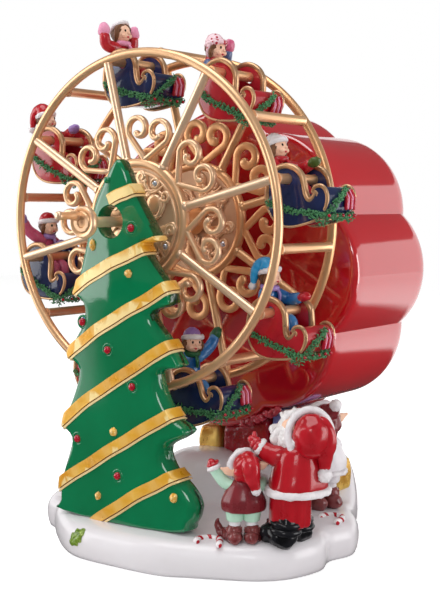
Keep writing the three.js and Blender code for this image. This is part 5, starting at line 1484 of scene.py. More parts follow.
def rider_shapes(spec, seed):
    """Every coloured piece of one rider, by its finish."""
    shapes = {}

    def add(material, shape):
        shapes.setdefault(material.name, (material, []))[1].append(shape)

    for side in (-1, 1):
        knee = [(0.0, 0.075 * side, 0.1), (0.16, 0.085 * side, 0.15), (0.25, 0.09 * side, 0.12),
                (0.27, 0.09 * side, -0.06)]
        add(spec["coat"], rope(knee, 5, [0.085, 0.085, 0.078, 0.06], 14))
    add(spec["coat"], oval_body(rider_trunk))
    for side, pose in ((-1, spec["left"]), (1, spec["right"])):
        x, y, z = hand_places[pose]
        hand = Vector((x, y * side, z))
        shoulder = Vector((0.0, 0.1 * side, 0.465))
        elbow = (shoulder + hand) / 2 + Vector((-0.02, 0.055 * side, -0.055 if z < 0.7 else 0.0))
        arm = curve_through([shoulder, elbow, hand], 6)
        add(spec["sleeve"], swept(arm[:-2], [0.074, 0.08, 0.074, 0.066], 14))
        along = (arm[-1] - arm[-4]).normalized()
        if spec.get("cuff"):
            side_way = along.orthogonal().normalized()
            other = along.cross(side_way)
            ring = [arm[-3] + (side_way * math.cos(a) + other * math.sin(a)) * 0.046 for a in angles(16)]
            add(spec["cuff"], furry(ring, 0.02, True, seed + side))
        turn = along.to_track_quat("Z", "X").to_matrix()
        add(spec["mitten"], ball(hand + along * 0.03, (0.058, 0.074, 0.092), turn=turn, rows=10, sides=14,
                                 rough=0.12, grain=2.0, seed=seed))
        thumb = hand + along * 0.005 + turn @ Vector((0.01, -0.058 * side, 0.0))
        add(spec["mitten"], ball(thumb, (0.026, 0.026, 0.042), turn=turn, rows=8, sides=10))
    head = Vector((0.012, 0, 0.655))

    def on_head(material, place, radii, rows, sides, **more):
        add(material, ball(head + Vector(place), radii, rows=rows, sides=sides, **more))
    add(skin_tone, ball(head, (0.118, 0.112, 0.122), rows=16, sides=24))
    on_head(skin_tone, (0.118, 0, -0.008), (0.022, 0.02, 0.02), 8, 12)
    for side in (-1, 1):
        on_head(skin_tone, (0.085, 0.055 * side, -0.04), (0.03, 0.034, 0.03), 8, 12)
        on_head(eye_dark, (0.103, 0.044 * side, 0.022), (0.013, 0.013, 0.018), 8, 10)
    on_head(coat_red, (0.108, 0, -0.056), (0.012, 0.018, 0.012), 8, 10)
    on_head(hair_brown, (-0.022, 0, 0.012), (0.122, 0.124, 0.125), 14, 22, rough=0.16, grain=4.0, seed=seed)
    if spec["style"] == "bare":
        for side in (-1, 1):
            lock = [(0.05, 0.04 * side, 0.775), (0.045, 0.11 * side, 0.71), (0.03, 0.122 * side, 0.62),
                    (0.0, 0.11 * side, 0.55)]
            add(hair_brown, rope(lock, 5, [0.03, 0.036, 0.034, 0.022], 10, flat=0.8))
        add(fur_white, furry(ring_path(head + Vector((-0.035, 0, 0.075)), 0.118, -0.55), 0.024, True, seed))
    else:
        for side in (-1, 1):
            lock = [(0.03, 0.105 * side, 0.68), (0.03, 0.122 * side, 0.62), (0.02, 0.112 * side, 0.555)]
            add(hair_brown, rope(lock, 4, [0.024, 0.03, 0.018], 10))
        brim_at = head + Vector((-0.006, 0, 0.064))
        add(spec["brim"], furry(ring_path(brim_at, 0.112, -0.25), 0.032, True, seed))
        if spec["style"] == "stocking":
            crown = curve_through([(-0.01, 0, 0.71), (-0.025, 0, 0.76), (-0.07, 0, 0.79),
                                   (-0.13, -0.02, 0.76),
                                   (-0.17, -0.05, 0.68), (-0.18, -0.07, 0.58)], 5)
            add(spec["hat"], swept(crown, [0.112, 0.106, 0.092, 0.074, 0.052, 0.036], 18))
            add(fur_white, ball(crown[-1] + Vector((-0.01, -0.005, -0.04)), 0.046, rows=10, sides=14,
                                rough=0.4,
                                grain=3.0, seed=seed))
        else:
            on_head(spec["hat"], (-0.03, 0, 0.075), (0.112, 0.112, 0.112), 14, 22, rough=0.06, grain=4.0,
                seed=seed)
            if spec["style"] == "bonnet":
                back_ring = ring_path(head + Vector((-0.02, 0, 0.0)), 0.122, -1.35)
                add(spec["brim"], furry(back_ring, 0.028, True, seed + 2))
    add(spec["scarf"], furry(ring_path((0.008, 0, 0.53), 0.082, 0.14), 0.036, True, seed + 5, 0.15))
    add(spec["scarf"], rope([(0.085, 0.02, 0.52), (0.12, 0.035, 0.46), (0.115, 0.045, 0.38)], 4,
                            [0.03, 0.036, 0.03], 10, flat=0.6))
    return shapes


def build_gondolas():
    """Each sleigh hangs on its own body, with all that it carries."""
    shell, trim = sleigh_shell(), sleigh_trim()
    garland_paths = sleigh_garlands()
    reds, pales = candy_bundle()
    berries = joined(*(ball(on_sleigh(0.95, -0.86, y) + Vector((0.0006, 0, -0.0002)), 0.00075, rows=6,
                       sides=10)
                       for y in (-0.9, -0.35, 0.1, 0.55, 0.95)))
    for k in range(sectors):
        body, name = f"gondola_{k + 1}", f"sleigh {k + 1}"
        hang = Matrix.Translation(joint_places[f"{body}_swing"]) @ Matrix.Rotation(hang_tilts[k], 4, "Y")
        paint, slot = (sleigh_red, "sleigh_red") if k % 2 else (sleigh_blue, "sleigh_blue")
        piece(f"{name} shell", shell, paint, body, slot, (f"sleigh_{k + 1}",), sharp=38, at=hang)
        piece(f"{name} gold edges", trim, trim_gold, body, "wheel_gold", sharp=60, at=hang)
        strands = path_shape([[hang @ p for p in path] for path in garland_paths])
        mesh = grown("garland", strands, sprigs, {"Seed": k + 3, "Spacing": 0.0005}, fir_green, weld=False)
        dress(f"{name} garland", mesh, fir_green, body, "tree_green", sharp=0)
        for part, shape, paint, slot in (("red candy", reds, berry_red, "coat_red"),
                                         ("pale candy", pales, soft_pink, "rider_pink"),
                                         ("berries", berries, berry_red, "coat_red")):
            piece(f"{name} {part}", shape, paint, body, slot, sharp=0, at=hang)
        back, lift, lean, turn = rider_settings[k]
        place = hang @ Matrix.Translation(rider_place + Vector((-back, 0, lift)) * rider_tall)
        seat = (place @ Matrix.Rotation(math.radians(-lean), 4, "Y")
                @ Matrix.Rotation(math.radians(turn), 4, "Z")
                @ Matrix.Scale(rider_tall, 4))
        for material, shapes in rider_shapes(riders[k], k * 11 + 1).values():
            piece(f"rider {k + 1} {material.name}", joined(*shapes), material, body, rider_slot(material),
                  (f"rider_{k + 1}",) if material is riders[k]["coat"] else (), sharp=0, at=seat)


def rider_slot(material):
    for slot, materials in (("rider_red", (coat_red, dark_red, berry_red)),
                            ("rider_blue", (coat_blue, bright_blue)),
                            ("rider_pink", (soft_pink, rose_coat, lilac))):
        if material in materials:
            return slot
    return "rider_white"


build_gondolas()


# Figures on the snow: an old man in red seen from behind, and two elves

trouser_red = finish("trouser red", "BC0C1E", "980816", hollow_shade="350308", worn_and_highlight="B83A48",
                     roughness=0.3, coat=1.0, specular=0.15, cloud=120, bump=0.4)
beard_white = finish("carved white beard", "F4F1F0", "E0D9DA", hollow_shade="B3A6AC", roughness=0.3,
                     cloud=260, ripple=700, bump=0.9, contrast=1.4, wash_share=0.6)
stocking_white = finish("stocking white", "F1EEF0", "DCD6DC", hollow_shade="AFA3AE", roughness=0.3,
                        cloud=200, ripple=500, bump=0.4)


def draped(shape, depth, folds, seed, low=0.0, high=1.0):
    """Cloth folds: the skin moves in and out with the angle round its middle, more towards low."""
    points, faces = shape
    middle = sum(points, Vector()) / len(points)
    out = []
    for p in points:
        q = Vector((p.x - middle.x, p.y - middle.y, 0))
        share = min(1, max(0, (high - p.z) / (high - low)))
        if q.length > 1e-9:
            way = q.normalized()
            push = noise.noise(Vector((way.x * folds, way.y * folds, p.z * 2 + seed * 5.3)))
            q = q * (1 + depth * share * push * 2)
        out.append(Vector((middle.x + q.x, middle.y + q.y, p.z)))
    return out, faces


def lumpy(shape, depth, grain, seed):
    """A hand-modelled surface, uneven by a share of its size."""
    points, faces = shape
    spot = Vector((seed * 2.7, seed * 1.3, seed))
    middle = sum(points, Vector()) / len(points)
    return [p + (p - middle).normalized() * depth * noise.noise(p * grain + spot) for p in points], faces


def fur_ring(centre, facing, wide, tall, thick, seed, amount=0.3):
    """A fur roll in the plane that faces a direction."""
    facing = Vector(facing).normalized()
    side = Vector((0, 0, 1)).cross(facing).normalized()
    up = facing.cross(side)
    path = [Vector(centre) + side * math.cos(a) * wide + up * math.sin(a) * tall for a in angles(36)]
    return furry(path, thick, True, seed, amount)


def mitten_shape(start, tip, radius, thumb, seed):
    """A hand in a mitten from the wrist to its tip, and its thumb."""
    start, tip, thumb = Vector(start), Vector(tip), Vector(thumb)
    root = (start + tip) / 2
    hand = rope([start, root, tip], 5, [radius * 0.8, radius * 1.15, radius * 0.75], 14)
    return joined(lumpy(hand, radius * 0.12, 18, seed),
                  swept([root, root + thumb * 0.6, root + thumb],
                  [radius * 0.5, radius * 0.5, radius * 0.35], 10))


# Levels from the ground up: height, radius, how much broader across, how far forward
man_coat = [(0.39, 0.17, 1.05, -0.03), (0.4, 0.215, 1.08, -0.03), (0.46, 0.222, 1.08, -0.03),
            (0.56, 0.2, 1.08, -0.035), (0.66, 0.175, 1.1, -0.04), (0.73, 0.145, 1.12, -0.05),
            (0.78, 0.1, 1.0, -0.07), (0.8, 0.05, 1.0, -0.07)]
man_legs = [(0.13, 0.1, 1.15, -0.02), (0.15, 0.142, 1.18, -0.02), (0.24, 0.148, 1.2, -0.02),
            (0.34, 0.15, 1.2, -0.025), (0.42, 0.15, 1.15, -0.03), (0.43, 0.08, 1.1, -0.03)]
elf_trunk = [(0.34, 0.13, 1.15, 0), (0.345, 0.18, 1.15, 0), (0.38, 0.2, 1.15, 0), (0.46, 0.206, 1.12, 0),
             (0.54, 0.18, 1.1, 0), (0.62, 0.14, 1.08, 0), (0.68, 0.09, 1.0, 0), (0.7, 0.04, 1.0, 0)]
elf_leg = [(0.23, 0.05, 1, 0), (0.24, 0.084, 1, 0), (0.29, 0.094, 1, 0), (0.36, 0.1, 1, 0), (0.4, 0.06, 1, 0)]
man_brow = [(0.09, 0.97, 0.065), (0.1, 0.975, 0.035), (0.085, 0.965, 0.005)]


def old_man_shapes():
    """Every coloured part of the old man, in shares of his height."""
    left, near = Vector((0.808, 0.589, 0)), Vector((-0.587, 0.81, 0))

    def seen(across, up, toward=0.0):
        return left * across + near * toward + Vector((0, 0, up))

    def through(*spots):
        return [seen(*spot) for spot in spots]
    coat = draped(oval_body(man_coat, 48, 6), 0.05, 2.4, 2, 0.35, 0.8)
    arm = rope(through((0.04, 0.68, 0.03), (0.12, 0.675, 0.05), (0.19, 0.69, 0.03), (0.265, 0.735, 0.0)), 6,
               [0.088, 0.085, 0.074, 0.06], 22)
    far_arm = rope([(-0.03, -0.12, 0.69), (0.08, -0.17, 0.64), (0.2, -0.16, 0.62)], 6, [0.085, 0.08, 0.07],
        20)
    hand = mitten_shape(seen(0.275, 0.745, -0.01), seen(0.325, 0.79, -0.02), 0.046, (0.005, 0.0, 0.07), 3)
    far_hand = mitten_shape((0.21, -0.16, 0.62), (0.29, -0.15, 0.62), 0.05, (0.0, 0.05, 0.03), 6)
    ring_at = seen(-0.105, 0.84, 0.09)
    bulb = ball(ring_at + near * 0.035 - left * 0.012, (0.15, 0.145, 0.172), rows=28, sides=40, rough=0.07,
                grain=2.3, seed=3, turn=Matrix.Rotation(math.radians(-54), 3, "Z"))
    fold = rope(through((-0.13, 0.95, 0.12), (-0.19, 0.92, 0.15), (-0.225, 0.83, 0.165),
                        (-0.215, 0.72, 0.165),
                        (-0.215, 0.62, 0.15)), 7, [0.05, 0.07, 0.075, 0.075, 0.06, 0.045], 22, flat=0.7,
                across=near)
    crease = rope(through((-0.03, 0.92, 0.185), (-0.1, 0.91, 0.2), (-0.15, 0.85, 0.205),
                  (-0.13, 0.76, 0.2)), 6,
                  [0.02, 0.036, 0.036, 0.015], 14, flat=0.5, across=near)
    legs = draped(oval_body(man_legs, 56, 5), 0.1, 3.6, 4, 0.0, 0.5)
    boots = []
    for side in (-1, 1):
        foot = [(-0.03, 0.088 * side, 0.21), (-0.035, 0.09 * side, 0.14), (-0.03, 0.092 * side, 0.08),
                (0.02, 0.1 * side, 0.072), (0.08, 0.108 * side, 0.08), (0.1, 0.115 * side, 0.08)]
        boots.append(lumpy(rope(foot, 6, [0.085, 0.098, 0.1, 0.098, 0.094, 0.084], 24), 0.03, 13, side + 4))
        for z, r in ((0.175, 0.09), (0.125, 0.096)):
            top = [Vector((-0.034 + math.cos(a) * r, 0.09 * side + math.sin(a) * r, z + 0.01 * math.cos(a)))
                   for a in angles(24)]
            boots.append(furry(top, 0.028, True, side + 9, 0.2))
    face = [ball(seen(*at), radii, rows=rows, sides=sides) for at, radii, rows, sides in (
        ((-0.005, 0.9, 0.0), (0.115, 0.105, 0.125), 20, 28),
        ((0.1, 0.9, -0.05), (0.03, 0.026, 0.026), 10, 14),
        ((0.03, 0.9, 0.105), (0.03, 0.018, 0.045), 12, 16),
        ((0.055, 0.91, 0.075), (0.05, 0.045, 0.05), 12, 18))]
    eyes = [ball(seen(0.085, 0.935, 0.04 * side - 0.035), (0.014, 0.014, 0.016), rows=8, sides=12)
            for side in (-1, 1)]
    beard = [lumpy(ball(seen(0.052, 0.828, 0.0), (0.1, 0.125, 0.155), rows=26, sides=36, rough=0.12,
                        grain=3.2,
                        seed=8), 0.02, 22, 5)]
    beard += [fur_rope(through(*spots), steps, radii, seed) for spots, steps, radii, seed in (
        (((0.085, 0.92, 0.03), (0.09, 0.87, 0.07), (0.07, 0.82, 0.09), (0.09, 0.76, 0.06)), 7,
         [0.03, 0.045, 0.055, 0.03], 2),
        (((0.005, 0.84, 0.1), (0.02, 0.8, 0.11), (0.03, 0.76, 0.09)), 6, [0.04, 0.055, 0.035], 7),
        (((-0.02, 1.0, 0.0), (0.04, 0.985, 0.03), (0.08, 0.95, 0.02), (0.09, 0.9, 0.0)), 6,
         [0.03, 0.045, 0.05, 0.035], 12))]
    beard = [moved(part, Matrix.Translation(left * -0.02)) for part in beard]
    beard += [rope([(0.06, 0.03 + 0.06 * k, 0.88), (0.115, 0.03 + 0.05 * k, 0.8),
                   (0.1, 0.03 + 0.04 * k, 0.72)], 5,
                   [0.03, 0.04, 0.016], 12) for k in (-1.4, -0.5, 0.5, 1.4)]
    beard += [rope([(0.13, 0.03, 0.885), (0.15, 0.03 + 0.05 * s, 0.875), (0.125, 0.03 + 0.1 * s, 0.85)], 4,
                   [0.02, 0.026, 0.01], 10) for s in (-1, 1)]
    beard += [rope(through(*((x, z, 0.04 * s - y) for x, z, y in man_brow)), 3, [0.01, 0.014, 0.01], 8)
              for s in (-1, 1)]
    fur = [fur_ring((-0.03, 0, 0.415), (0, 0.001, 1), 0.222, 0.236, 0.031, 3, 0.35),
           fur_ring(ring_at, near - left * 0.25 + Vector((0, 0, 0.12)), 0.168, 0.19, 0.03, 8, 0.22),
           fur_ring(seen(0.262, 0.732, 0.0), left * 0.8 + Vector((0, 0, 0.5)), 0.05, 0.05, 0.024, 5),
           fur_ring((0.2, -0.16, 0.62), (1, 0, 0), 0.056, 0.056, 0.026, 6),
           ball(seen(-0.215, 0.555, 0.15), 0.056, rows=18, sides=26, rough=0.22, grain=3.4, seed=4)]
    return [("coat", coat_red, "coat_red", [coat, arm, far_arm, bulb, fold, crease, hand, far_hand]),
            ("trousers", trouser_red, "coat_red", [moved(legs, Matrix.Translation(left * 0.05))]),
            ("boots", boot_black, "rider_white", [moved(boot, Matrix.Translation(left * 0.045))
            for boot in boots]),
            ("fur", fur_white, "snow_white", fur), ("beard", beard_white, "snow_white", beard),
            ("face", skin_tone, "rider_white", face), ("eyes", eye_dark, "rider_white", eyes)]


def elf_shapes(seed, tunic, hood, mitten, ring_way, tip, tip_thick, arms, ear=0.02, wool=None, collar=False):
    """Every coloured part of an elf, in shares of its height. wool is the paint of sleeves and shorts."""
    trunk = draped(oval_body(elf_trunk, 44, 6), 0.06, 2.6, seed, 0.3, 0.75)
    shorts, stockings, boots = [], [], []
    for side in (-1, 1):
        leg = moved(oval_body(elf_leg, 26, 4), Matrix.Translation((-0.01, 0.088 * side, 0)))
        shorts.append(draped(leg, 0.08, 3, seed + side, 0, 0.4))
        shin = [(-0.01, 0.088 * side, 0.26), (-0.012, 0.092 * side, 0.17), (-0.015, 0.096 * side, 0.08)]
        stockings.append(rope(shin, 5, [0.062, 0.058, 0.05], 18))
        toe = [(-0.09, 0.085 * side, 0.068), (0.0, 0.1 * side, 0.068), (0.08, 0.16 * side, 0.062),
               (0.13, 0.235 * side, 0.085), (0.14, 0.27 * side, 0.16), (0.12, 0.265 * side, 0.21)]
        boots.append(lumpy(rope(toe, 6, [0.074, 0.094, 0.084, 0.062, 0.042, 0.018], 18), 0.014, 16, side + 3))
        ankle = [Vector((-0.018, 0.096 * side, 0.05)), Vector((-0.016, 0.095 * side, 0.14))]
        boots.append(lumpy(swept(ankle, [0.078, 0.082], 18), 0.012, 20, side))
        for a in angles(7):
            point = [Vector((-0.016 + r * math.cos(a), 0.095 * side + r * math.sin(a), z))
                     for r, z in ((0.062, 0.13), (0.08, 0.172))]
            boots.append(swept(point, [0.026, 0.006], 8))
    head = Vector((0.01, -0.015, 0.79))

    def on_head(*spots):
        return [head + Vector(spot) for spot in spots]
    face = [ball(head, (0.135, 0.13, 0.14), rows=20, sides=28),
            ball(head + Vector((0.135, 0, -0.01)), 0.027, rows=10, sides=14)]
    for side, lift in ((-1, 0.02), (1, ear)):
        face.append(rope(on_head((-0.005, 0.11 * side, lift), (-0.02, 0.17 * side, lift + 0.01),
                                 (-0.045, 0.245 * side, lift + 0.045)), 5, [0.05, 0.046, 0.014], 14,
                                 flat=0.55,
                         across=(1, 0, 0)))
    eyes = [ball(head + Vector((0.12, 0.048 * s, 0.03)), (0.014, 0.014, 0.02), rows=8, sides=12)
        for s in (-1, 1)]
    ring_way = Vector(ring_way)
    facing = ring_way.normalized()
    hood_ball = ball(head - facing * 0.045 + Vector((0, 0, 0.02)), (0.165, 0.15, 0.165), rows=30, sides=40,
                     rough=0.05, grain=3.5, seed=seed)
    fall = curve_through(tip, 6)
    hoods = [lumpy(hood_ball, 0.03, 11, seed + 2), lumpy(swept(fall, tip_thick, 20), 0.012, 16, seed + 4)]
    fur = [fur_ring(head + facing * 0.05 + Vector((0, 0, 0.02)), ring_way, 0.142, 0.15, 0.038, seed, 0.3),
           ball(fall[-1] + (fall[-1] - fall[-2]).normalized() * 0.03, 0.054, rows=16, sides=22, rough=0.22,
                grain=3.4, seed=seed)]
    sleeves, mittens = [], []
    for n, (arm, thumb) in enumerate(arms):
        path = curve_through(arm, 6)
        sleeves.append(swept(path[:-3], [0.066, 0.066, 0.06, 0.056], 18))
        along = (path[-1] - path[-4]).normalized()
        cuff_way = along if abs(along.z) < 0.99 else (0.1, 0, 1)
        fur.append(fur_ring(path[-4], cuff_way, 0.054, 0.054, 0.024, seed + n))
        mittens.append(mitten_shape(path[-3], path[-1] + along * 0.04, 0.055, thumb, n))
    hair = [rope(on_head((0.09, 0.03 + 0.04 * k, 0.11), (0.128, 0.03 + 0.05 * k, 0.08),
                 (0.13, 0.04 + 0.05 * k, 0.05)),
                 4, [0.02, 0.024, 0.008], 10) for k in (-2.2, -1.1, 0, 1.1)]
    if collar:
        fur.append(fur_ring((0, 0, 0.352), (0, 0.001, 1), 0.2, 0.225, 0.026, seed + 5, 0.35))
    wool = wool or mint
    return [("tunic", tunic, "tunic_red", [trunk]), ("shorts", wool, "rider_white", shorts),
            ("stockings", stocking_white, "snow_white", stockings),
            ("boots", boot_brown, "rider_white", boots),
            ("face", skin_tone, "rider_white", face), ("eyes", eye_dark, "rider_white", eyes),
            ("hair", hair_brown, "rider_white", hair), ("hood", hood, "coat_red", hoods),
            ("fur", fur_white, "snow_white", fur), ("sleeves", wool, "rider_white", sleeves),
            ("mittens", mitten, "coat_red", mittens)]


def on_snow(shares, z):
    """A place on the snow by shares of the base's half sizes."""
    return Vector((base_centre.x + shares[0] * base_half.x, base_centre.y + shares[1] * base_half.y, z))


def build_figures():
    """Three figures that stand on the snow, each scaled to its own height."""
    left_elf = elf_shapes(
        3, dark_red, coat_red, coat_red, (0.85, 0.35, 0.25),
        [(-0.06, -0.04, 0.9), (-0.14, -0.07, 0.84), (-0.17, -0.09, 0.72), (-0.165, -0.12, 0.62)],
        [0.09, 0.1, 0.085, 0.055],
        [([(0, 0.11, 0.6), (0.02, 0.2, 0.64), (0.03, 0.29, 0.75), (0.035, 0.32, 0.81)], (0.02, -0.05, 0.03)),
         ([(0, -0.11, 0.6), (0.02, -0.17, 0.6), (0.1, -0.2, 0.62), (0.16, -0.19, 0.63)], (0.0, 0.04, 0.04))],
        ear=-0.04)
    right_elf = elf_shapes(
        9, stocking_white, dark_red, dark_red, (0.8, -0.3, 0.45),
        [(-0.04, 0, 0.86), (-0.11, 0.005, 0.9), (-0.16, 0.01, 0.94), (-0.2, 0.02, 0.97)],
        [0.13, 0.1, 0.07, 0.045],
        [([(0, 0.11, 0.6), (0.02, 0.17, 0.66), (0.04, 0.2, 0.8), (0.05, 0.21, 0.88)], (0.04, -0.03, 0.03)),
         ([(0, -0.11, 0.6), (0.02, -0.17, 0.57), (0.1, -0.18, 0.52), (0.16, -0.175, 0.49)],
         (0.0, 0.04, 0.04))],
        wool=stocking_white, collar=True)
    for name, shares, turn, tall_share, parts in (
            ("red_coat_figure", (0.904, -0.5305), 180, 1.0, old_man_shapes()),
            ("left_elf", (0.6946, -0.6976), 126, 0.949, left_elf),
            ("right_elf", (0.6773, 0.1042), 160, 1.01, right_elf)):
        low, high, size, middle = size_of(name)
        stand = (Matrix.Translation(on_snow(shares, low.z)) @ Matrix.Rotation(math.radians(turn), 4, "Z")
                 @ Matrix.Scale(size.z / tall_share, 4))
        for n, (part, material, slot, forms) in enumerate(parts):
            piece(f"{name} {part}", joined(*forms), material, "stand", slot, (name,) if n == 0 else (),
                  sharp=0,
                  at=stand)


# Presents under the drum, canes and a holly leaf on the snow

gift_gold = finish("gift foil gold", "F6CC6C", "C07E1E", hollow_shade="8A5010", worn_and_highlight="FFF0B8", roughness=0.26,
                   metallic=0.35, cloud=110, ripple=120, bump=0.5, contrast=3.4)
gift_red = finish("gift foil red", "B00E22", "820816", hollow_shade="48040C", worn_and_highlight="D85060", roughness=0.22,
                  coat=0.5, cloud=140, ripple=260, bump=0.9, contrast=1.6)
gift_violet = finish("gift foil violet", "8486C4", "6062A4", hollow_shade="26284C", worn_and_highlight="A4A6D2", roughness=0.26,
                     coat=0.4, cloud=90, ripple=150, bump=0.5)
gift_green = finish("gift foil green", "1B6B42", "0E4A2B", hollow_shade="062414", worn_and_highlight="68A884", roughness=0.26,
                    coat=0.4, cloud=90, ripple=150, bump=0.5)
glitter_rose = finish("glitter rose", "C8606C", "A04450", roughness=0.2, metallic=0.6, cloud=900)
candy_white = finish("candy white", "F4F0F1", "E6DCE0", hollow_shade="B9A8B0", roughness=0.16, coat=0.6, cloud=200,
                     bump=0.15)
candy_red = finish("candy red", "C8182C", "A00E20", roughness=0.14, coat=0.6, cloud=300, bump=0.1)
holly_green = finish("holly green", "7E9A30", "4C6A1C", hollow_shade="1E3A0C", worn_and_highlight="D8E48C", roughness=0.24,
                     coat=0.4,
                     cloud=520, ripple=600, bump=0.5, contrast=3.0)


def glitter_tree():
    """Short thin flakes scattered over a surface, lying on it."""
    group, given, close = growing("Scattered flakes", {
        "Density": 1500000.0, "Flake Length": 0.0016, "Flake Width": 0.0004, "Flake Thickness": 0.00014,
        "Seed": 1})
    spots = node(group, "GeometryNodeDistributePointsOnFaces", {"Mesh": given["Geometry"],
                 "Density": given["Density"], "Seed": given["Seed"]})
    size = node(group, "ShaderNodeCombineXYZ", {0: given["Flake Length"], 1: given["Flake Width"],
                2: given["Flake Thickness"]})
    flake = node(group, "GeometryNodeMeshCube", {"Size": size.outputs[0]})
    spin = node(group, "FunctionNodeEulerToRotation", {0: any_between(group, (0, 0, -0.9), (0, 0, 0.9),
        given["Seed"])})
    both = node(group, "FunctionNodeRotateRotation", {0: spots.outputs["Rotation"], 1: spin.outputs[0]},
                rotation_space="LOCAL")
    return close(copies_on(group, spots.outputs["Points"], flake.outputs[0], both.outputs[0]))


def soft_box(low, high, corner, bulge):
    """A wrapped box: rounded corners and sides that bulge a little."""
    middle, half = (low + high) / 2, (high - low) / 2
    signs = ((1, 1), (-1, 1), (-1, -1), (1, -1))

    def corner_point(quarter, a):
        sx, sy = signs[quarter]
        return Vector((sx * (half.x - corner) + corner * math.cos(a),
            sy * (half.y - corner) + corner * math.sin(a), 0))
    outline = []
    for quarter in range(4):
        outline += [corner_point(quarter, math.pi / 2 * (quarter + i / 6)) for i in range(7)]
        start, end = outline[-1], corner_point((quarter + 1) % 4, math.pi / 2 * (quarter + 1))
        outline += [start.lerp(end, i / 10) for i in range(1, 10)]
    rings = []
    for k in range(19):
        t = k / 18
        z = low.z + (high.z - low.z) * t
        edge = min(z - low.z, high.z - z)
        inset = corner - math.sqrt(max(corner ** 2 - (corner - min(edge, corner)) ** 2, 0))
        swell = bulge * math.sin(math.pi * t)
        sx, sy = ((reach - inset - bulge + swell) / reach for reach in (half.x, half.y))
        ring = []
        for p in outline:
            crinkle = 0.00025 * noise.noise(Vector((p.x, p.y, z)) * 160)
            ring.append(Vector((middle.x + p.x * sx + crinkle, middle.y + p.y * sy + crinkle, z)))
        rings.append(ring)
    return skin(rings)


def ribbon_over(low, high, wide, thick):
    """A ribbon round a box, through the middle of its front and its top."""
    middle, reach = (low + high) / 2, ((high - low) / 2).y
    path = [Vector((middle.x, middle.y + u * reach, low.z + (high.z - low.z) * w))
            for u, w in ((-1, 0.0), (-1, 0.5), (-1, 0.9), (-0.94, 1.0), (-0.5, 1.0), (0, 1.0), (0.5, 1.0),
                         (0.94, 1.0), (1, 0.9), (1, 0.5), (1, 0.0))]
    return rope(path, 3, thick, 12, flat=wide / thick, across=(1, 0, 0), box=0.6, round_ends=False)


def drum_underside(x):
    """The height of the drum's lowest lobe above the snow, at this place across it."""
    swing = math.asin(max(-0.38, min(0.38, (x - drum_middle.x) / (drum_size.z * 0.475))))
    share = (swing / math.radians(22.5)) ** 2
    return drum_middle.z - drum_size.z / 2 * (1 - (1 - valley_share) * share) * math.cos(swing)


def up_to_drum(shape, foot, top):
    """The drum rests on this box: its upper half rises to the drum's underside."""
    points, faces = shape
    out = []
    for p in points:
        share = max(0.0, (p.z - foot) / (top - foot) - 0.4) / 0.6
        rise = min(drum_underside(p.x) + 0.7 * MM, top + 7.4 * MM) - top
        out.append(p + Vector((0, 0, rise * share)))
    return out, faces


def drum_ruffle():
    """The red box's ribbon, squeezed out in waves along the drum's lower edge."""
    low, high, size, middle = size_of("red_present")
    front = drum_low.y
    path = []
    for i in range(49):
        t = i / 48
        x = low.x + size.x * (0.5 + 0.76 * t)
        z = high.z + (3.4 + 9.4 * t) * MM
        path.append(Vector((x, front + (0.5 + 0.7 * math.sin(i * 1.05)) * MM,
            z + (0.9 * math.sin(i * 0.8) - 0.5) * MM)))
    width = [1.2 * MM + 0.7 * MM * math.sin(i * 0.62) ** 2 for i in range(49)]
    return lumpy(swept(path, width, 16), 0.5 * MM, 700, 4)


def build_presents():
    """Five wrapped boxes. The drum rests on the red one, which has a ruffle and glitter."""
    flakes = glitter_tree()
    for node_name, material, ribbon, slot, bulge in (
            ("gold_present", gift_gold, None, "present_gold", 0.0014),
            ("red_present", gift_red, None, "present_red", 0.0004),
            ("blue_present", gift_violet, stocking_white, "present_blue", 0.0004),
            ("green_present", gift_green, coat_red, "present_green", 0.0004),
            ("side_present", gift_gold, dark_red, "present_gold", 0.0008)):
        low, high, size, middle = size_of(node_name)
        name = node_name.replace("_", " ")
        inset = Vector((1, 1, 0)) * 0.6 * MM
        if name == "blue present":
            low = low - Vector((0.9, 1.8, 0)) * MM
        body = soft_box(low + inset, high - inset - Vector((0, 0, 0.3 * MM)), 1.7 * MM, bulge)
        if name == "red present":
            body = up_to_drum(body, low.z, high.z)
            piece("red present ruffle", drum_ruffle(), gift_red, "stand", slot, sharp=50)
        piece(name + " paper", body, material, "stand", slot, (node_name,), sharp=50)
        if name == "red present":
            mesh = grown("glitter", body, flakes, {"Seed": 4, "Density": 130000.0, "Flake Length": 0.0011,
                         "Flake Width": 0.00026, "Flake Thickness": 0.0001}, glitter_rose)
            dress("red present glitter", mesh, glitter_rose, "stand", slot, sharp=30)
        if ribbon:
            band = ribbon_over(low + inset * 0.8, high - Vector((0, 0, 0.7 * MM)) - inset * 0.8, 1.9 * MM,
                0.45 * MM)
            piece(name + " ribbon", band, ribbon, "stand", slot, sharp=50)


def candy_stick(path, radius, twist, red_share, sides=24):
    """A round stick with red stripes wound round it, and which of its faces are red."""
    rings = []
    lengths = [(b - a).length for a, b in zip(path, path[1:])]
    travelled = 0.0
    for i, p in enumerate(path):
        along = heading(path, i)
        normal = (Vector((0, 0, 1)) - along * along.z).normalized()
        if i:
            travelled += lengths[i - 1]
        side = along.cross(normal)
        end = min(travelled, sum(lengths[i:]))
        r = radius * math.sqrt(max(0.0, 1 - (1 - min(end / radius, 1)) ** 2)) if end < radius else radius
        rings.append([p + (normal * math.cos(a) + side * math.sin(a)) * max(r, radius * 0.05)
                      for a in (travelled * twist + turn for turn in angles(sides))])
    points, faces = skin(rings)
    red = {f for f, face in enumerate(faces)
           if len(face) == 4 and sum(k % sides for k in face) / 4 < sides * red_share}
    return (points, faces), red


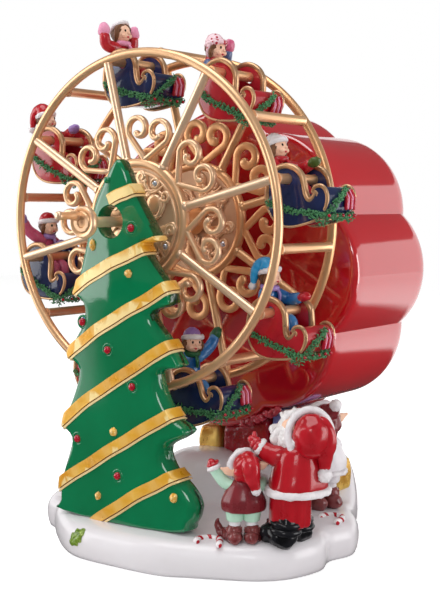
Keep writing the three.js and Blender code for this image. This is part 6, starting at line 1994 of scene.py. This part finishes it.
def build_canes():
    """Two candy canes that lie on the snow."""
    for name, shares, turn in (("candy_cane_1", (0.548, -0.807), 31), ("candy_cane_2", (0.848, -0.064), 8)):
        low, high, size, middle = size_of(name)
        tube = size.z / 2
        hook, leg = tube * 3.33, tube * 4.67
        path = [Vector((hook, -leg + i * leg / 12, 0)) for i in range(12)]
        path += [Vector((hook * math.cos(a), hook * math.sin(a), 0))
            for a in (math.pi * i / 30 for i in range(31))]
        path += [Vector((-hook, -i * hook / 9, 0)) for i in range(1, 5)]
        lie = Matrix.Translation(on_snow(shares, middle.z)) @ Matrix.Rotation(math.radians(turn), 4, "Z")
        shape, red = candy_stick([lie @ p for p in path], tube, TAU / (tube * 3.6), 0.36)
        mesh = plain_mesh(name, shape)
        mesh.materials.append(candy_white)
        mesh.materials.append(candy_red)
        for f in red:
            mesh.polygons[f].material_index = 1
        dress(name.replace("_", " ") + " stick", cleaned(mesh, weld=0), candy_white, "stand", "cane_white",
              (name,), sharp=0)


def build_holly():
    """A serrated leaf that lies against the side of the snow base."""
    snow_skin = BVHTree.FromPolygons([tuple(p) for p in snow_shape[0]], snow_shape[1])
    low = Vector((base_centre.x - 0.275 * base_half.x, base_centre.y - 1.2 * base_half.y, base_edge * 0.42))
    tip = Vector((base_centre.x - 0.17 * base_half.x, base_centre.y - 1.2 * base_half.y, base_edge * 0.98))
    along = tip - low
    side = Vector((along.z, 0, -along.x)).normalized()
    length = along.length
    across = 9
    rows = 40
    top, under = [], []
    for i in range(rows + 1):
        t = i / rows
        broad = length * 0.28 * math.sin(math.pi * min(1, t * 0.96 + 0.02)) ** 0.8 * (1
            + 0.16 * math.sin(t * TAU * 3.5))
        ridge, base_row = [], []
        for j in range(-across, across + 1):
            s = j / across
            spot = low + along * t + side * s * broad
            hit = snow_skin.ray_cast(spot, Vector((0, 1, 0)))[0]
            rise = (0.0011 * (1 - s * s) ** 0.5 + 0.0002) * min(1, 6 * t + 0.2, 6 * (1 - t) + 0.2)
            vein = 0.00022 * math.exp(-(s * 7) ** 2) + 0.00012 * max(0,
                math.sin((t * 9 - abs(s) * 1.6) * TAU)) ** 4
            ridge.append(hit + Vector((0, -rise + vein, 0)))
            base_row.append(hit + Vector((0, 0.0006, 0)))
        top.append(ridge)
        under.append(base_row)
    rings = [a + b[::-1] for a, b in zip(top, under)]
    piece("holly leaf", skin(rings), holly_green, "stand", "tree_green", sharp=50)


build_figures()
build_presents()
build_canes()
build_holly()


for name, material in (("drive_gear", movement_brass), ("pinned_cylinder", movement_brass),
                       ("movement_bracket", movement_brass), ("comb", comb_steel)):
    carried = frame["nodes"][name]
    carried.data.materials.clear()
    carried.data.materials.append(material)
